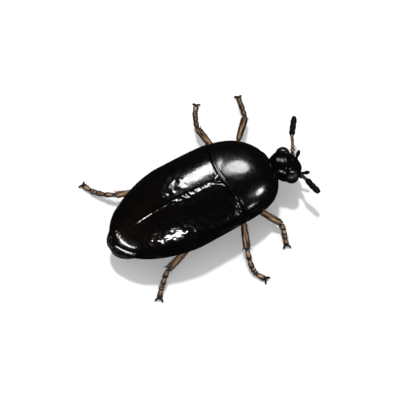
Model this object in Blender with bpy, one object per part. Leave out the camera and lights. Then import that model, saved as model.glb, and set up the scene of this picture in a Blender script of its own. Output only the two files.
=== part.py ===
"""Black carpet beetle, Attagenus unicolor: a still, life-size model of the whole animal, standing.

Axes: +X towards the head, +Y towards the beetle's left, +Z up, floor at z = 0.
All sizes below are in millimetres; MM turns them into metres when an object is made.
Trunk coordinates run from the tail tip at x = 0 along the body's middle line, y = 0.
"""

import math

import bmesh
import bpy
from mathutils import Vector

MM = 0.001

# Place of the frame's origin in trunk coordinates: on the floor, under the middle of the animal.
ORIGIN = Vector((2.725, 0.165, 0.00))

# Trunk outline from above.
TRUNK_LENGTH = 4.322  # tail tip of the wing cases to the front of the pronotum
HALF_WIDTH = 1.13
WIDEST_X = 1.805
TAIL_POWER = 1.62  # under 2 narrows the tail evenly
FRONT_POWER = 4.85  # high, so that the sides stay parallel and the front is broad

# Trunk from the side.
MARGIN_Z = 0.80  # height of the sharp side margin
MARGIN_TAIL_DROP = 0.095
MARGIN_FRONT_DROP = 0.095
DOME = 0.684  # height of the back over the margin
BELLY = 0.50  # depth of the belly under the margin
DOME_POWER = 2.1
KEEL_POWER = 1.1  # over 1, so that the underside thins towards the margin and leaves room for the legs

# The seam between pronotum and wing cases, and the bend of the front body to the right.
SEAM_X = 2.831
SEAM_SWEEP = 0.228  # how far the seam runs forward at the sides
SEAM_SWEEP_POWER = 1.3
SEAM_SKEW = 0.095  # the seam lies further forward on the left by this much, where the front body turns
BEND = 0.050  # sideways shift of the front body for each millimetre ahead of the seam
GAP = 0.012  # clearance between neighbouring pieces

# Meshes: faces of each plate along x, y and z, and how finely curves are followed.
ELYTRON_FACES = (16, 9, 1)
SCUTELLUM_FACES = (5, 4, 1)
PRONOTUM_FACES = (14, 18, 1)
ABDOMEN_FACES = (12, 12, 1)
HIND_CHEST_FACES = (5, 12, 1)
FRONT_CHEST_FACES = (7, 12, 1)
LABRUM_FACES = (3, 6, 1)
PLATE_GRADING = 1.5  # over 1, so that the faces of a plate get shorter towards its rounded end
CURVE_STEPS = 20  # straight steps between two points of a curve
SHARP_ANGLE = math.radians(50.0)
TINY = 1e-4

# Wing cases.
SUTURE_FRONT_Y = -0.13  # where they meet at the shield, a little right of the middle line
SUTURE_TAIL_Y = 0.04  # and where they meet at the tail
ELYTRON_TAIL_X = 0.028
ELYTRON_CORE = 0.095  # height of a wing case's underside over the margin, at the middle line
ELYTRON_LIP = 0.067  # depth of the folded-under rim at the side
LIP_START = 0.8  # share of the half width from which the rim folds under
THINNEST = 0.03  # least thickness of a plate
SCUTELLUM_LENGTH = 0.19
SCUTELLUM_HALF = 0.123
SCUTELLUM_TAPER = 0.8
SCUTELLUM_THICKNESS = 0.25
SCUTELLUM_POINT = 0.02  # the point of the shield is cut off by this much

# Pronotum.
PRONOTUM_FRONT_X = 4.294
PRONOTUM_LIP = 0.057

# Underside.
ABDOMEN_TIP_X = -0.076  # the tip shows behind the wing cases as a rounded band
ABDOMEN_TIP_BLUNT = 0.012
ABDOMEN_TIP_TAPER = 0.35  # how fast the band draws in under the wing cases
ABDOMEN_TIP_LENGTH = 0.40
ABDOMEN_TIP_THICKNESS = 0.05
UNDERSIDE_THICKNESS = 0.12
THORAX_REAR_X = 1.90
UNDERSIDE_Z = 0.5
SIDE_INSET = 0.048  # the underside stays this far inside the margin
UNDER_LIP_START = 0.65  # from this share outwards the underside makes room for the folded rims
UNDER_LIP_SPAN = 0.15
CHEST_REACH_X = 4.142

# Head, in its own axes: length, half width and half height of the capsule.
HEAD_CENTRE = Vector((4.56, -0.34, 0.72))
HEAD_YAW = math.radians(-14.0)
HEAD_PITCH = math.radians(30.0)
HEAD_LENGTH = 0.912
HEAD_HALF_WIDTH = 0.399
HEAD_HALF_HEIGHT = 0.294
HEAD_TAPER = 0.16
HEAD_SEGMENTS = 20
HEAD_RINGS = 13
NECK_STEP = 0.01  # in steps of this, a point of the neck moves ahead until it is out of the pronotum
EYE_RADIUS = 0.18
EYE_SIDE = 0.318
EYE_FORWARD = 0.02
EYE_UP = 0.06
EYE_SEGMENTS = 13
EYE_RINGS = 10  # even, so that one ring lies on the brim
EYE_SEARCH_STEPS = 30

# Mouth: a flat lip under the front of the head, in the head's axes.
LABRUM_BACK = 0.437
LABRUM_LENGTH = 0.085
LABRUM_HALF_WIDTH = 0.142
LABRUM_HALF_THICKNESS = 0.043
LABRUM_UP = -0.057
LABRUM_ROUND = 0.35
LABRUM_TAPER = 0.15

# Feelers: where each leaves the head (forward, sideways, up), then its elbow, club start and tip.
ANTENNA_ROOT = (0.323, 0.266, -0.019)
ANTENNA_WAYS = {
    "left": ((5.045, 0.05, 0.76), (5.149, 0.266, 0.817), (5.51, 0.684, 0.798)),
    "right": ((4.815, -0.77, 0.65), (4.80, -0.915, 0.70), (4.87, -1.34, 0.68)),
}
STALK_RADIUS = 0.052
STALK_RINGS = 9
STALK_FULL = 1.15
STALK_WAIST = 0.80
STALK_SIDES = 8
CLUB_RADIUS = 0.072
CLUB_SHAPE = (0.55, 0.95, 0.90, 1.0, 1.05, 0.95, 1.05, 1.05, 0.95, 0.75, 0.3)

# Mouth feelers: where each leaves the head, and its tip in trunk coordinates.
PALP_ROOT = (0.408, 0.123, -0.133)
PALP_TIPS = {"left": (5.17, -0.076, 0.58), "right": (5.04, -0.704, 0.55)}
PALP_RADIUS = 0.043
PALP_SHAPE = (0.9, 1.0, 0.75, 1.05, 1.2, 0.9)
PALP_SIDES = 7

# Legs: greatest radius of each length, and its shape as shares of that from start to end.
COXA_RADIUS = 0.19
COXA_SHAPE = (0.55, 0.85, 0.95, 0.85, 0.6)
COXA_FLAT = 0.6
COXA_INNER = 0.25  # a hip piece starts this share of the hip's distance from the middle line
COXA_LEAN = 0.057
FEMUR_RADIUS = 0.128
FEMUR_SHAPE = (0.50, 0.85, 1.0, 1.0, 0.92, 0.75, 0.45)
FEMUR_FLAT = 0.8
TIBIA_RADIUS = 0.084
TIBIA_SHAPE = (0.50, 0.85, 0.92, 0.97, 1.0, 1.0, 0.7)
TIBIA_FLAT = 0.85
TARSUS_RADIUS = 0.067
TARSUS_LENGTHS = (0.29, 0.25, 0.10, 0.08, 0.28)  # share of each of the five tarsus joints
TARSUS_FLARE = ((0.0, 0.62), (0.55, 0.92), (0.92, 1.0))  # places along a joint, and how full it is there
TARSUS_END = 0.7
TARSUS_STEPS = 100
JOINT_GAP = 0.02
LIMB_SIDES = 10
SHIN_SIDES = 8

# Claws.
CLAW_RADIUS = 0.027
CLAW_LENGTH = 0.145
CLAW_SPREAD = math.radians(60.0)
CLAW_BASE_Z = 0.057
CLAW_PLACES = (1.0, 0.75, 0.5, 0.25)  # shares of the claw's length, from its tip to its root
CLAW_HOOK = 0.18
CLAW_SIDES = 6
CLAW_AHEAD = 1.6  # the root lies this many claw radii past the foot's end
CLAW_MIDDLE = 1.5  # fullness where the two claws meet
CLAW_ROOT = 1.35  # fullness at the root of a claw
CLAW_TIP = 0.30  # fullness at its tip
CLAW_REST = 0.3  # height of a tip's middle over the floor, in claw radii
CLAW_DROP_POWER = 1.6  # over 1, so that a claw falls more steeply towards its tip

# Each leg: hip, knee, ankle, then where the tarsus bends and ends, in trunk coordinates.
LEGS = {
    "front_left": (
        (3.57, 0.32, 0.20), (4.05, 0.97, 0.48), (4.68, 1.60, 0.26),
        (4.83, 2.00, 0.12), (4.92, 2.26, 0.05),
    ),
    "front_right": (
        (3.61, -0.28, 0.20), (3.40, -0.78, 0.44), (3.81, -1.40, 0.22),
        (3.74, -1.62, 0.12), (3.66, -1.83, 0.05),
    ),
    "middle_left": (
        (2.60, 0.42, 0.19), (3.43, 1.00, 0.48), (3.46, 1.92, 0.28),
        (3.63, 2.31, 0.12), (3.84, 2.62, 0.05),
    ),
    "middle_right": (
        (2.60, -0.38, 0.19), (3.02, -0.88, 0.46), (2.71, -1.56, 0.30),
        (2.60, -1.97, 0.13), (2.73, -2.29, 0.05),
    ),
    "hind_left": (
        (1.92, 0.44, 0.19), (1.30, 1.00, 0.46), (0.77, 1.34, 0.28),
        (0.47, 1.66, 0.13), (0.29, 2.06, 0.05),
    ),
    "hind_right": (
        (1.92, -0.40, 0.19), (1.54, -0.88, 0.46), (0.87, -1.02, 0.26),
        (0.60, -1.22, 0.13), (0.40, -1.43, 0.05),
    ),
}


# ---------------------------------------------------------------- materials


def principled(name, colour, roughness, metallic=0.0):
    material = bpy.data.materials.new(name)
    material.use_nodes = True
    shader = material.node_tree.nodes["Principled BSDF"]
    shader.inputs["Base Color"].default_value = (*colour, 1.0)
    shader.inputs["Roughness"].default_value = roughness
    shader.inputs["Metallic"].default_value = metallic
    return material


def shell_black():
    return principled("shell_black", (0.010, 0.009, 0.009), 0.16)


def belly_brown():
    return principled("belly_brown", (0.035, 0.018, 0.010), 0.35)


def leg_brown():
    return principled("leg_brown", (0.300, 0.150, 0.070), 0.38)


def club_black():
    return principled("club_black", (0.012, 0.010, 0.010), 0.55)


def eye_black():
    return principled("eye_black", (0.008, 0.008, 0.009), 0.10)


def claw_black():
    return principled("claw_black", (0.020, 0.012, 0.008), 0.30)


# ---------------------------------------------------------------- trunk form


def clamp01(value):
    return min(max(value, 0.0), 1.0)


def swell(x):
    """How full the trunk is at x, from 0 at its two ends to 1 where it is widest."""
    if x < WIDEST_X:
        return math.sqrt(1.0 - clamp01((WIDEST_X - x) / WIDEST_X) ** TAIL_POWER)
    along = clamp01((x - WIDEST_X) / (TRUNK_LENGTH - WIDEST_X))
    return math.sqrt(1.0 - along**FRONT_POWER)


def half_width(x):
    return HALF_WIDTH * swell(x)


def margin_z(x):
    if x < WIDEST_X:
        return MARGIN_Z - MARGIN_TAIL_DROP * clamp01((WIDEST_X - x) / WIDEST_X) ** 2
    return MARGIN_Z - MARGIN_FRONT_DROP * clamp01((x - WIDEST_X) / (TRUNK_LENGTH - WIDEST_X)) ** 2


def arch(across, power):
    """Height of a rounded section at a share across of its half width, from 1 to 0 at the margin."""
    return math.sqrt(1.0 - clamp01(abs(across)) ** power)


def back_z(x, across):
    return margin_z(x) + DOME * swell(x) * arch(across, DOME_POWER)


def belly_z(x, across):
    return margin_z(x) - BELLY * swell(x) * (1.0 - clamp01(abs(across)) ** 2) ** KEEL_POWER


def core_z(x, across):
    """The level at which wing cases and pronotum end, and the underside begins."""
    return margin_z(x) + ELYTRON_CORE * swell(x) * (1.0 - across * across)


def seam_x(across):
    return SEAM_X + SEAM_SWEEP * abs(across) ** SEAM_SWEEP_POWER + SEAM_SKEW * across


def bend_y(x):
    """The front body turns a little to the right of the wing cases."""
    return -BEND * max(x - SEAM_X, 0.0)


# ---------------------------------------------------------------- mesh helpers


def block(cuts):
    """A closed box from -1 to 1 on each axis, with so many faces along x, y and z."""
    mesh = bmesh.new()
    bmesh.ops.create_cube(mesh, size=2.0)
    for axis, count in enumerate(cuts):
        along = [e for e in mesh.edges if abs(e.verts[0].co[axis] - e.verts[1].co[axis]) > TINY]
        if count > 1:
            bmesh.ops.subdivide_edges(mesh, edges=along, cuts=count - 1, use_grid_fill=True)
    return mesh


def finish(name, mesh, material, anchor):
    """Makes the object, with its origin at the anchor, a point in trunk coordinates."""
    anchor = Vector(anchor)
    for vert in mesh.verts:
        vert.co = (vert.co - anchor) * MM
    if mesh.calc_volume(signed=True) < 0:
        bmesh.ops.reverse_faces(mesh, faces=mesh.faces)
    data = bpy.data.meshes.new(name)
    mesh.to_mesh(data)
    mesh.free()
    data.shade_smooth()
    data.set_sharp_from_angle(angle=SHARP_ANGLE)
    data.materials.append(material)
    made = bpy.data.objects.new(name, data)
    made.location = (anchor - ORIGIN) * MM
    made.parent = bpy.data.objects["beetle"]
    bpy.context.scene.collection.objects.link(made)
    return made


def shaped(name, cuts, shape, material, anchor):
    mesh = block(cuts)
    for vert in mesh.verts:
        vert.co = Vector(shape(*vert.co))
    return finish(name, mesh, material, anchor)


def blend(low, high, share):
    return low + (high - low) * share


def frames_along(points):
    """A point and two unit side vectors for each place of a path, with no twist."""
    count = len(points)
    side = None
    made = []
    for i, point in enumerate(points):
        ahead = (points[min(i + 1, count - 1)] - points[max(i - 1, 0)]).normalized()
        if side is None:
            side = ahead.cross(Vector((0, 0, 1)))
        side = (side - ahead * side.dot(ahead)).normalized()
        made.append((point, side, ahead.cross(side)))
    return made


def tube(name, points, radii, material, anchor, sides=LIMB_SIDES, flat=1.0, settle=None):
    """A closed round length through the points.

    flat squeezes it in its up direction, and settle moves the points that must give way.
    """
    mesh = bmesh.new()
    bmesh.ops.create_cone(
        mesh, cap_ends=True, segments=sides, radius1=1.0, radius2=1.0, depth=2.0
    )
    long_edges = [e for e in mesh.edges if abs(e.verts[0].co.z - e.verts[1].co.z) > TINY]
    bmesh.ops.subdivide_edges(mesh, edges=long_edges, cuts=len(points) - 2)
    places = frames_along(points)
    for vert in mesh.verts:
        step = round((vert.co.z + 1.0) / 2.0 * (len(points) - 1))
        point, side, up = places[step]
        radius = radii[step]
        vert.co = point + side * (vert.co.x * radius) + up * (vert.co.y * radius * flat)
        if settle is not None:
            vert.co = settle(vert.co)
    return finish(name, mesh, material, anchor)


def spline(controls, count):
    """Points evenly spread over a smooth curve through the controls."""
    controls = [Vector(c) for c in controls]
    ends = [controls[0] * 2 - controls[1], *controls, controls[-1] * 2 - controls[-2]]
    dense = []
    for i in range(1, len(ends) - 2):
        p0, p1, p2, p3 = ends[i - 1 : i + 3]
        for k in range(CURVE_STEPS):
            t = k / CURVE_STEPS
            dense.append(
                0.5
                * (
                    2 * p1
                    + (p2 - p0) * t
                    + (2 * p0 - 5 * p1 + 4 * p2 - p3) * t * t
                    + (3 * p1 - p0 - 3 * p2 + p3) * t * t * t
                )
            )
    dense.append(controls[-1])
    lengths = [0.0]
    for a, b in zip(dense, dense[1:]):
        lengths.append(lengths[-1] + (b - a).length)
    even = []
    for n in range(count):
        target = lengths[-1] * n / (count - 1)
        k = next(j for j in range(1, len(dense)) if lengths[j] >= target - TINY)
        share = clamp01((target - lengths[k - 1]) / (lengths[k] - lengths[k - 1]))
        even.append(dense[k - 1].lerp(dense[k], share))
    return even


def on_floor(point):
    """Flattens the foot where it stands."""
    point.z = max(point.z, 0.0)
    return point


def shortened(start, end, gap_start, gap_end):
    """The two ends of a straight length, drawn in by a gap at each."""
    start, end = Vector(start), Vector(end)
    way = (end - start).normalized()
    return start + way * gap_start, end - way * gap_end


# ---------------------------------------------------------------- trunk pieces


def suture_y(x):
    """Where the two wing cases meet."""
    return blend(SUTURE_TAIL_Y, SUTURE_FRONT_Y, clamp01(x / SEAM_X))


def scutellum_half(x):
    """Half width of the small shield between the wing cases, 0 behind it."""
    along = (x - (SEAM_X - SCUTELLUM_LENGTH)) / SCUTELLUM_LENGTH
    return SCUTELLUM_HALF * clamp01(along) ** SCUTELLUM_TAPER


def fold(across):
    """How far a plate's rim is folded under, from 0 inside to 1 at the margin."""
    return clamp01((abs(across) - LIP_START) / (1.0 - LIP_START)) ** 2


def make_elytron(name, side, material):
    front_share = (side * suture_y(SEAM_X) + GAP / 2) / half_width(SEAM_X)

    def shape(a, b, c):
        across = math.sin((b + 1) * math.pi / 4)
        reach = seam_x(side * blend(front_share, 1.0, across)) - GAP
        x = blend(ELYTRON_TAIL_X, reach, ((a + 1) / 2) ** PLATE_GRADING)
        inner = side * suture_y(x) + GAP / 2 + scutellum_half(x)
        y = blend(inner, half_width(x), across)
        share = y / half_width(x)
        top = back_z(x, share)
        low = core_z(x, share) - ELYTRON_LIP * fold(share)
        return x, side * y, top if c > 0 else min(low, top - THINNEST)

    return shaped(name, ELYTRON_FACES, shape, material, (SEAM_X, 0, MARGIN_Z))


def make_scutellum(material):
    def shape(a, b, c):
        x = blend(SEAM_X - SCUTELLUM_LENGTH + SCUTELLUM_POINT, SEAM_X - GAP, (a + 1) / 2)
        y = suture_y(x) + b * (scutellum_half(x) - GAP / 2)
        share = y / half_width(x)
        top = back_z(x, share)
        return x, y, top if c > 0 else top - SCUTELLUM_THICKNESS

    return shaped("scutellum", SCUTELLUM_FACES, shape, material, (SEAM_X, 0, MARGIN_Z))


def make_pronotum(material):
    def shape(a, b, c):
        across = math.sin(b * math.pi / 2)
        along = 1 - (1 - (a + 1) / 2) ** PLATE_GRADING
        x = blend(seam_x(across), PRONOTUM_FRONT_X, along)
        y = across * half_width(x)
        top = back_z(x, across)
        low = core_z(x, across) - PRONOTUM_LIP * fold(across)
        return x, y + bend_y(x), top if c > 0 else min(low, top - THINNEST)

    return shaped("pronotum", PRONOTUM_FACES, shape, material, (SEAM_X, 0, MARGIN_Z))


def underside_half(x):
    """Half width of the underside: inside the rims, except at the tip, which shows behind them."""
    inner = max(half_width(max(x, 0.0)) - SIDE_INSET, 0.0)
    if x > WIDEST_X:
        return inner
    back = x - ABDOMEN_TIP_X
    return max(inner, half_width(back + ABDOMEN_TIP_BLUNT) - ABDOMEN_TIP_TAPER * back)


def underside_shape(rear, front):
    """A piece of the underside between two x values, below the wing cases or the pronotum."""

    def shape(a, b, c):
        across = math.sin(b * math.pi / 2)
        x = blend(rear, front, (1 - math.cos(math.pi * (a + 1) / 2)) / 2)
        inside = max(x, GAP)
        y = across * underside_half(x)
        share = clamp01(abs(y) / half_width(inside))
        room = clamp01((share - UNDER_LIP_START) / UNDER_LIP_SPAN)
        top = core_z(inside, share) - GAP - (ELYTRON_LIP + GAP) * room
        thickness = THINNEST + UNDERSIDE_THICKNESS * (1 - across * across)
        thickness += ABDOMEN_TIP_THICKNESS * clamp01(1 - x / ABDOMEN_TIP_LENGTH)
        low = min(belly_z(inside, share), top - thickness)
        return x, y + bend_y(x), top if c > 0 else low

    return shape


def make_abdomen(material):
    shape = underside_shape(ABDOMEN_TIP_X, THORAX_REAR_X - GAP / 2)
    return shaped("abdomen", ABDOMEN_FACES, shape, material, (THORAX_REAR_X, 0, UNDERSIDE_Z))


def make_hind_chest(material):
    shape = underside_shape(THORAX_REAR_X + GAP / 2, SEAM_X - GAP)
    return shaped("hind_chest", HIND_CHEST_FACES, shape, material, (SEAM_X, 0, UNDERSIDE_Z))


def make_front_chest(material):
    shape = underside_shape(SEAM_X + GAP, CHEST_REACH_X)
    return shaped("front_chest", FRONT_CHEST_FACES, shape, material, (SEAM_X, 0, UNDERSIDE_Z))


def under_belly(point):
    """Lowers a point of a leg that would lie inside the underside."""
    wide = half_width(point.x)
    if abs(point.y - bend_y(point.x)) < wide:
        across = (point.y - bend_y(point.x)) / (wide - SIDE_INSET / 2)
        point.z = min(point.z, belly_z(point.x, across) - GAP)
    return point


def in_collar(point):
    """Whether a point of the head lies inside the front body."""
    if point.x > PRONOTUM_FRONT_X + GAP:
        return False
    x = min(point.x, PRONOTUM_FRONT_X)
    across = (point.y - bend_y(x)) / (half_width(x) + GAP)
    return abs(across) < 1 and belly_z(x, across) - GAP < point.z < back_z(x, across) + GAP


# ---------------------------------------------------------------- head


def head_point(forward, left, up):
    """A place given in the head's own axes, turned and put in trunk coordinates."""
    ahead = Vector((math.cos(HEAD_PITCH), 0, -math.sin(HEAD_PITCH)))
    above = Vector((math.sin(HEAD_PITCH), 0, math.cos(HEAD_PITCH)))
    flat = ahead * forward + above * up + Vector((0, left, 0))
    cosine, sine = math.cos(HEAD_YAW), math.sin(HEAD_YAW)
    turned = Vector((flat.x * cosine - flat.y * sine, flat.x * sine + flat.y * cosine, flat.z))
    return HEAD_CENTRE + turned


def head_surface(forward, left, up, spare=0.0):
    """The point of the capsule in a direction of the head's axes, or spare outside it."""
    taper = 1.0 - HEAD_TAPER * max(forward, 0.0) ** 2
    return head_point(
        forward * (HEAD_LENGTH / 2 + spare),
        left * (HEAD_HALF_WIDTH * taper + spare),
        up * (HEAD_HALF_HEIGHT * taper + spare),
    )


def off_head(point):
    """Moves a point of an eye, feeler or lip out of the capsule, if it lies inside."""
    away = point - HEAD_CENTRE
    axes = [head_point(*unit) - HEAD_CENTRE for unit in ((1, 0, 0), (0, 1, 0), (0, 0, 1))]
    spans = (HEAD_LENGTH / 2, HEAD_HALF_WIDTH, HEAD_HALF_HEIGHT)
    direction = Vector([away.dot(axis) / span for axis, span in zip(axes, spans)]).normalized()
    surface = head_surface(*direction, spare=GAP)
    if away.length < (surface - HEAD_CENTRE).length:
        return surface
    return point


def make_head(material):
    mesh = bmesh.new()
    bmesh.ops.create_uvsphere(mesh, u_segments=HEAD_SEGMENTS, v_segments=HEAD_RINGS, radius=1.0)
    step = head_point(NECK_STEP, 0, 0) - head_point(0, 0, 0)
    for vert in mesh.verts:
        vert.co = head_surface(vert.co.z, vert.co.x, vert.co.y)
        while in_collar(vert.co):
            vert.co += step
    return finish("head", mesh, material, HEAD_CENTRE)


def make_labrum(material):
    def shape(a, b, c):
        forward = LABRUM_BACK + (a + 1) / 2 * LABRUM_LENGTH * (1 - LABRUM_ROUND * b * b)
        left = b * LABRUM_HALF_WIDTH * (1 - LABRUM_TAPER * (a + 1) / 2)
        return off_head(head_point(forward, left, LABRUM_UP + c * LABRUM_HALF_THICKNESS))

    return shaped("mouthparts", LABRUM_FACES, shape, material, head_point(LABRUM_BACK, 0, 0))


def make_eye(name, side, material):
    """The part of a ball that stands out of the capsule, on a base that follows the capsule's surface."""
    centre = head_point(EYE_FORWARD, side * EYE_SIDE, EYE_UP)
    out = (centre - HEAD_CENTRE).normalized()
    first = out.orthogonal().normalized()
    second = out.cross(first)
    base = off_head(centre)

    def ball(turn, around):
        """The point of the ball so far turned away from its outermost point, in a direction around it."""
        sideways = first * math.cos(around) + second * math.sin(around)
        return centre + (out * math.cos(turn) + sideways * math.sin(turn)) * EYE_RADIUS

    def brim(around):
        """The turn at which the ball dips into the capsule."""
        free, sunk = 0.0, math.pi
        for _ in range(EYE_SEARCH_STEPS):
            middle = (free + sunk) / 2
            if off_head(ball(middle, around)) == ball(middle, around):
                free = middle
            else:
                sunk = middle
        return free

    quarter = math.pi / 2
    mesh = bmesh.new()
    bmesh.ops.create_uvsphere(mesh, u_segments=EYE_SEGMENTS, v_segments=EYE_RINGS, radius=1.0)
    for vert in mesh.verts:
        turn = math.acos(max(min(vert.co.z, 1.0), -1.0))
        around = math.atan2(vert.co.y, vert.co.x)
        edge = brim(around)
        if turn < quarter + TINY:
            vert.co = ball(edge * turn / quarter, around)
        else:
            vert.co = off_head(base.lerp(ball(edge, around), (math.pi - turn) / quarter))
    return finish(name, mesh, material, centre)


def make_antenna(side_name, side, material_stalk, material_club):
    root = head_point(ANTENNA_ROOT[0], side * ANTENNA_ROOT[1], ANTENNA_ROOT[2])
    elbow, club_start, club_end = (Vector(p) for p in ANTENNA_WAYS[side_name])
    stalk = spline((root, elbow, club_start), STALK_RINGS)
    radii = [STALK_RADIUS * (STALK_WAIST if i % 2 else STALK_FULL) for i in range(STALK_RINGS)]
    name = f"antenna_stalk_{side_name}"
    tube(name, stalk, radii, material_stalk, root, sides=STALK_SIDES, settle=off_head)
    start, end = shortened(club_start, club_end, 2 * JOINT_GAP, 0)
    club = spline((start, end), len(CLUB_SHAPE))
    radii = [CLUB_RADIUS * share for share in CLUB_SHAPE]
    tube(f"antenna_club_{side_name}", club, radii, material_club, start, sides=STALK_SIDES)


def make_palp(side_name, side, material):
    root = head_point(PALP_ROOT[0], side * PALP_ROOT[1], PALP_ROOT[2])
    points = spline((root, PALP_TIPS[side_name]), len(PALP_SHAPE))
    radii = [PALP_RADIUS * share for share in PALP_SHAPE]
    tube(f"palp_{side_name}", points, radii, material, root, sides=PALP_SIDES, settle=off_head)


# ---------------------------------------------------------------- legs


def make_coxa(leg, hip, material):
    """The short thick hip piece, lying under the body and pointing to the thigh."""
    inner = Vector((hip.x + COXA_LEAN, hip.y * COXA_INNER, hip.z))
    start, end = shortened(inner, hip, 0, JOINT_GAP)
    radii = [COXA_RADIUS * share for share in COXA_SHAPE]
    points = spline((start, end), len(COXA_SHAPE))
    tube(f"coxa_{leg}", points, radii, material, hip, flat=COXA_FLAT, settle=under_belly)


def make_femur(leg, hip, knee, material):
    start, end = shortened(hip, knee, JOINT_GAP, JOINT_GAP)
    radii = [FEMUR_RADIUS * share for share in FEMUR_SHAPE]
    points = spline((start, end), len(FEMUR_SHAPE))
    tube(f"femur_{leg}", points, radii, material, hip, flat=FEMUR_FLAT, settle=under_belly)


def make_tibia(leg, knee, ankle, material):
    start, end = shortened(knee, ankle, JOINT_GAP, JOINT_GAP)
    radii = [TIBIA_RADIUS * share for share in TIBIA_SHAPE]
    points = spline((start, end), len(TIBIA_SHAPE))
    name = f"tibia_{leg}"
    tube(name, points, radii, material, knee, SHIN_SIDES, TIBIA_FLAT, under_belly)


def make_tarsus(leg, ankle, bend, tip, material):
    """Five short joints, each narrow at its start and wide at its end."""
    start = ankle + (bend - ankle).normalized() * JOINT_GAP
    fine = spline((start, bend, tip), TARSUS_STEPS + 1)
    points = []
    radii = []
    reached = 0.0
    for length in TARSUS_LENGTHS:
        for share, fullness in TARSUS_FLARE:
            points.append(fine[round(TARSUS_STEPS * (reached + share * length))])
            radii.append(TARSUS_RADIUS * fullness)
        reached += length
    points.append(fine[TARSUS_STEPS])
    radii.append(TARSUS_RADIUS * TARSUS_END)
    tube(f"tarsus_{leg}", points, radii, material, start, sides=SHIN_SIDES, settle=on_floor)


def make_claws(leg, bend, tip, material):
    """The two claws of a foot, one bent length from tip to tip, low on the floor."""
    way = tip - bend
    way.z = 0
    way.normalize()
    side = Vector((0, 0, 1)).cross(way)
    base = Vector((tip.x, tip.y, CLAW_BASE_Z)) + way * (JOINT_GAP + CLAW_RADIUS * CLAW_AHEAD)
    points = []
    radii = []
    for turn in (-1, 1):
        arm = []
        for share in CLAW_PLACES:
            out = way * math.cos(CLAW_SPREAD) + side * math.sin(CLAW_SPREAD) * turn
            drop = (CLAW_BASE_Z - CLAW_RADIUS * CLAW_REST) * share**CLAW_DROP_POWER
            hook = side * (-turn) * CLAW_LENGTH * CLAW_HOOK * share**2
            arm.append((base + out * CLAW_LENGTH * share + hook - Vector((0, 0, drop)), share))
        if turn > 0:
            points.append(base)
            radii.append(CLAW_RADIUS * CLAW_MIDDLE)
            arm.reverse()
        for place, share in arm:
            points.append(place)
            radii.append(CLAW_RADIUS * blend(CLAW_ROOT, CLAW_TIP, share))
    tube(f"claws_{leg}", points, radii, material, base, sides=CLAW_SIDES, settle=on_floor)


def make_leg(leg, joints, leg_material, claw_material):
    hip, knee, ankle, bend, tip = (Vector(joint) for joint in joints)
    make_coxa(leg, hip, leg_material)
    make_femur(leg, hip, knee, leg_material)
    make_tibia(leg, knee, ankle, leg_material)
    make_tarsus(leg, ankle, bend, tip, leg_material)
    make_claws(leg, bend, tip, claw_material)


def build():
    for old in list(bpy.data.objects):
        bpy.data.objects.remove(old, do_unlink=True)
    beetle = bpy.data.objects.new("beetle", None)
    bpy.context.scene.collection.objects.link(beetle)
    shell = shell_black()
    belly = belly_brown()
    brown = leg_brown()
    club = club_black()
    eye = eye_black()
    claw = claw_black()
    make_elytron("elytron_left", 1, shell)
    make_elytron("elytron_right", -1, shell)
    make_scutellum(shell)
    make_pronotum(shell)
    make_abdomen(belly)
    make_hind_chest(belly)
    make_front_chest(belly)
    make_head(shell)
    make_labrum(belly)
    for side_name, side in (("left", 1), ("right", -1)):
        make_eye(f"eye_{side_name}", side, eye)
        make_antenna(side_name, side, brown, club)
        make_palp(side_name, side, belly)
    for leg, joints in LEGS.items():
        make_leg(leg, joints, brown, claw)


build()
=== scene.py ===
"""Black carpet beetle, Attagenus unicolor: the finished looks of a still, life-size museum model.

The CAD frame gives the place and size of every plate and limb. Each class below models one part of
the animal in fine mesh round that frame and dresses it in its own finish.
Sizes are in millimetres in the beetle's own axes: +X to the head, +Y to its left, +Z up. Trunk
coordinates start at the tail end of the body's middle line, on the floor. MM turns them into metres.
"""

from __future__ import annotations

import logging
import math
import random
from collections.abc import Callable
from dataclasses import dataclass
from enum import Enum
from functools import cached_property

import bmesh
import bpy
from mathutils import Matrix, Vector, noise
from mathutils.kdtree import KDTree


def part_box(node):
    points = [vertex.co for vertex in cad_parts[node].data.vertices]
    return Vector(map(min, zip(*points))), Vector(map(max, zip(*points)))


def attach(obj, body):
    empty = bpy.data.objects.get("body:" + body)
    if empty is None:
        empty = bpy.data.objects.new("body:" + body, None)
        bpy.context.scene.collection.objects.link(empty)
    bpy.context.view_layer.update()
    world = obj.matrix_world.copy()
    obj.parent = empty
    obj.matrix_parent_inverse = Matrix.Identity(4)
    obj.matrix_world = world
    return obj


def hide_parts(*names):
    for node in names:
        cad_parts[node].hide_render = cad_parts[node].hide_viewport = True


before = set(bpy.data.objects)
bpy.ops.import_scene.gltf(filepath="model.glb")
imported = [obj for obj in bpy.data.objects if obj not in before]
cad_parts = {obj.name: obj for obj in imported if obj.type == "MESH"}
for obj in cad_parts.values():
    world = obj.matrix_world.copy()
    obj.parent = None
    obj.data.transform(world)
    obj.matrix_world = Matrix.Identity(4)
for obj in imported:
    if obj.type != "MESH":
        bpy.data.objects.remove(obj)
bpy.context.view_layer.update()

MM = 0.001
TINY = 1e-4
LOG = logging.getLogger("beetle")

Fade = tuple[float, float]  # where a smooth step starts and where it is full
Colour = tuple[float, float, float, float]
Place = tuple[float, float, float]


class Side(Enum):
    """The beetle's own left and right, as the sign of y."""

    LEFT = 1
    RIGHT = -1

    @property
    def label(self) -> str:
        """The side's name in node names."""
        return self.name.lower()


class Pair(Enum):
    """The three pairs of legs, front to back."""

    FRONT = "front"
    MIDDLE = "middle"
    HIND = "hind"


# ---------------------------------------------------------------- small sums


def clamp01(value: float) -> float:
    """The value, held between 0 and 1."""
    return min(max(value, 0.0), 1.0)


def mix(low: float, high: float, share: float) -> float:
    """A value a share of the way from low to high."""
    return low + (high - low) * share


def ramp(value: float, start: float, end: float) -> float:
    """A smooth step from 0 at start to 1 at end, either way round."""
    share = clamp01((value - start) / (end - start))
    return share * share * (3 - 2 * share)


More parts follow.
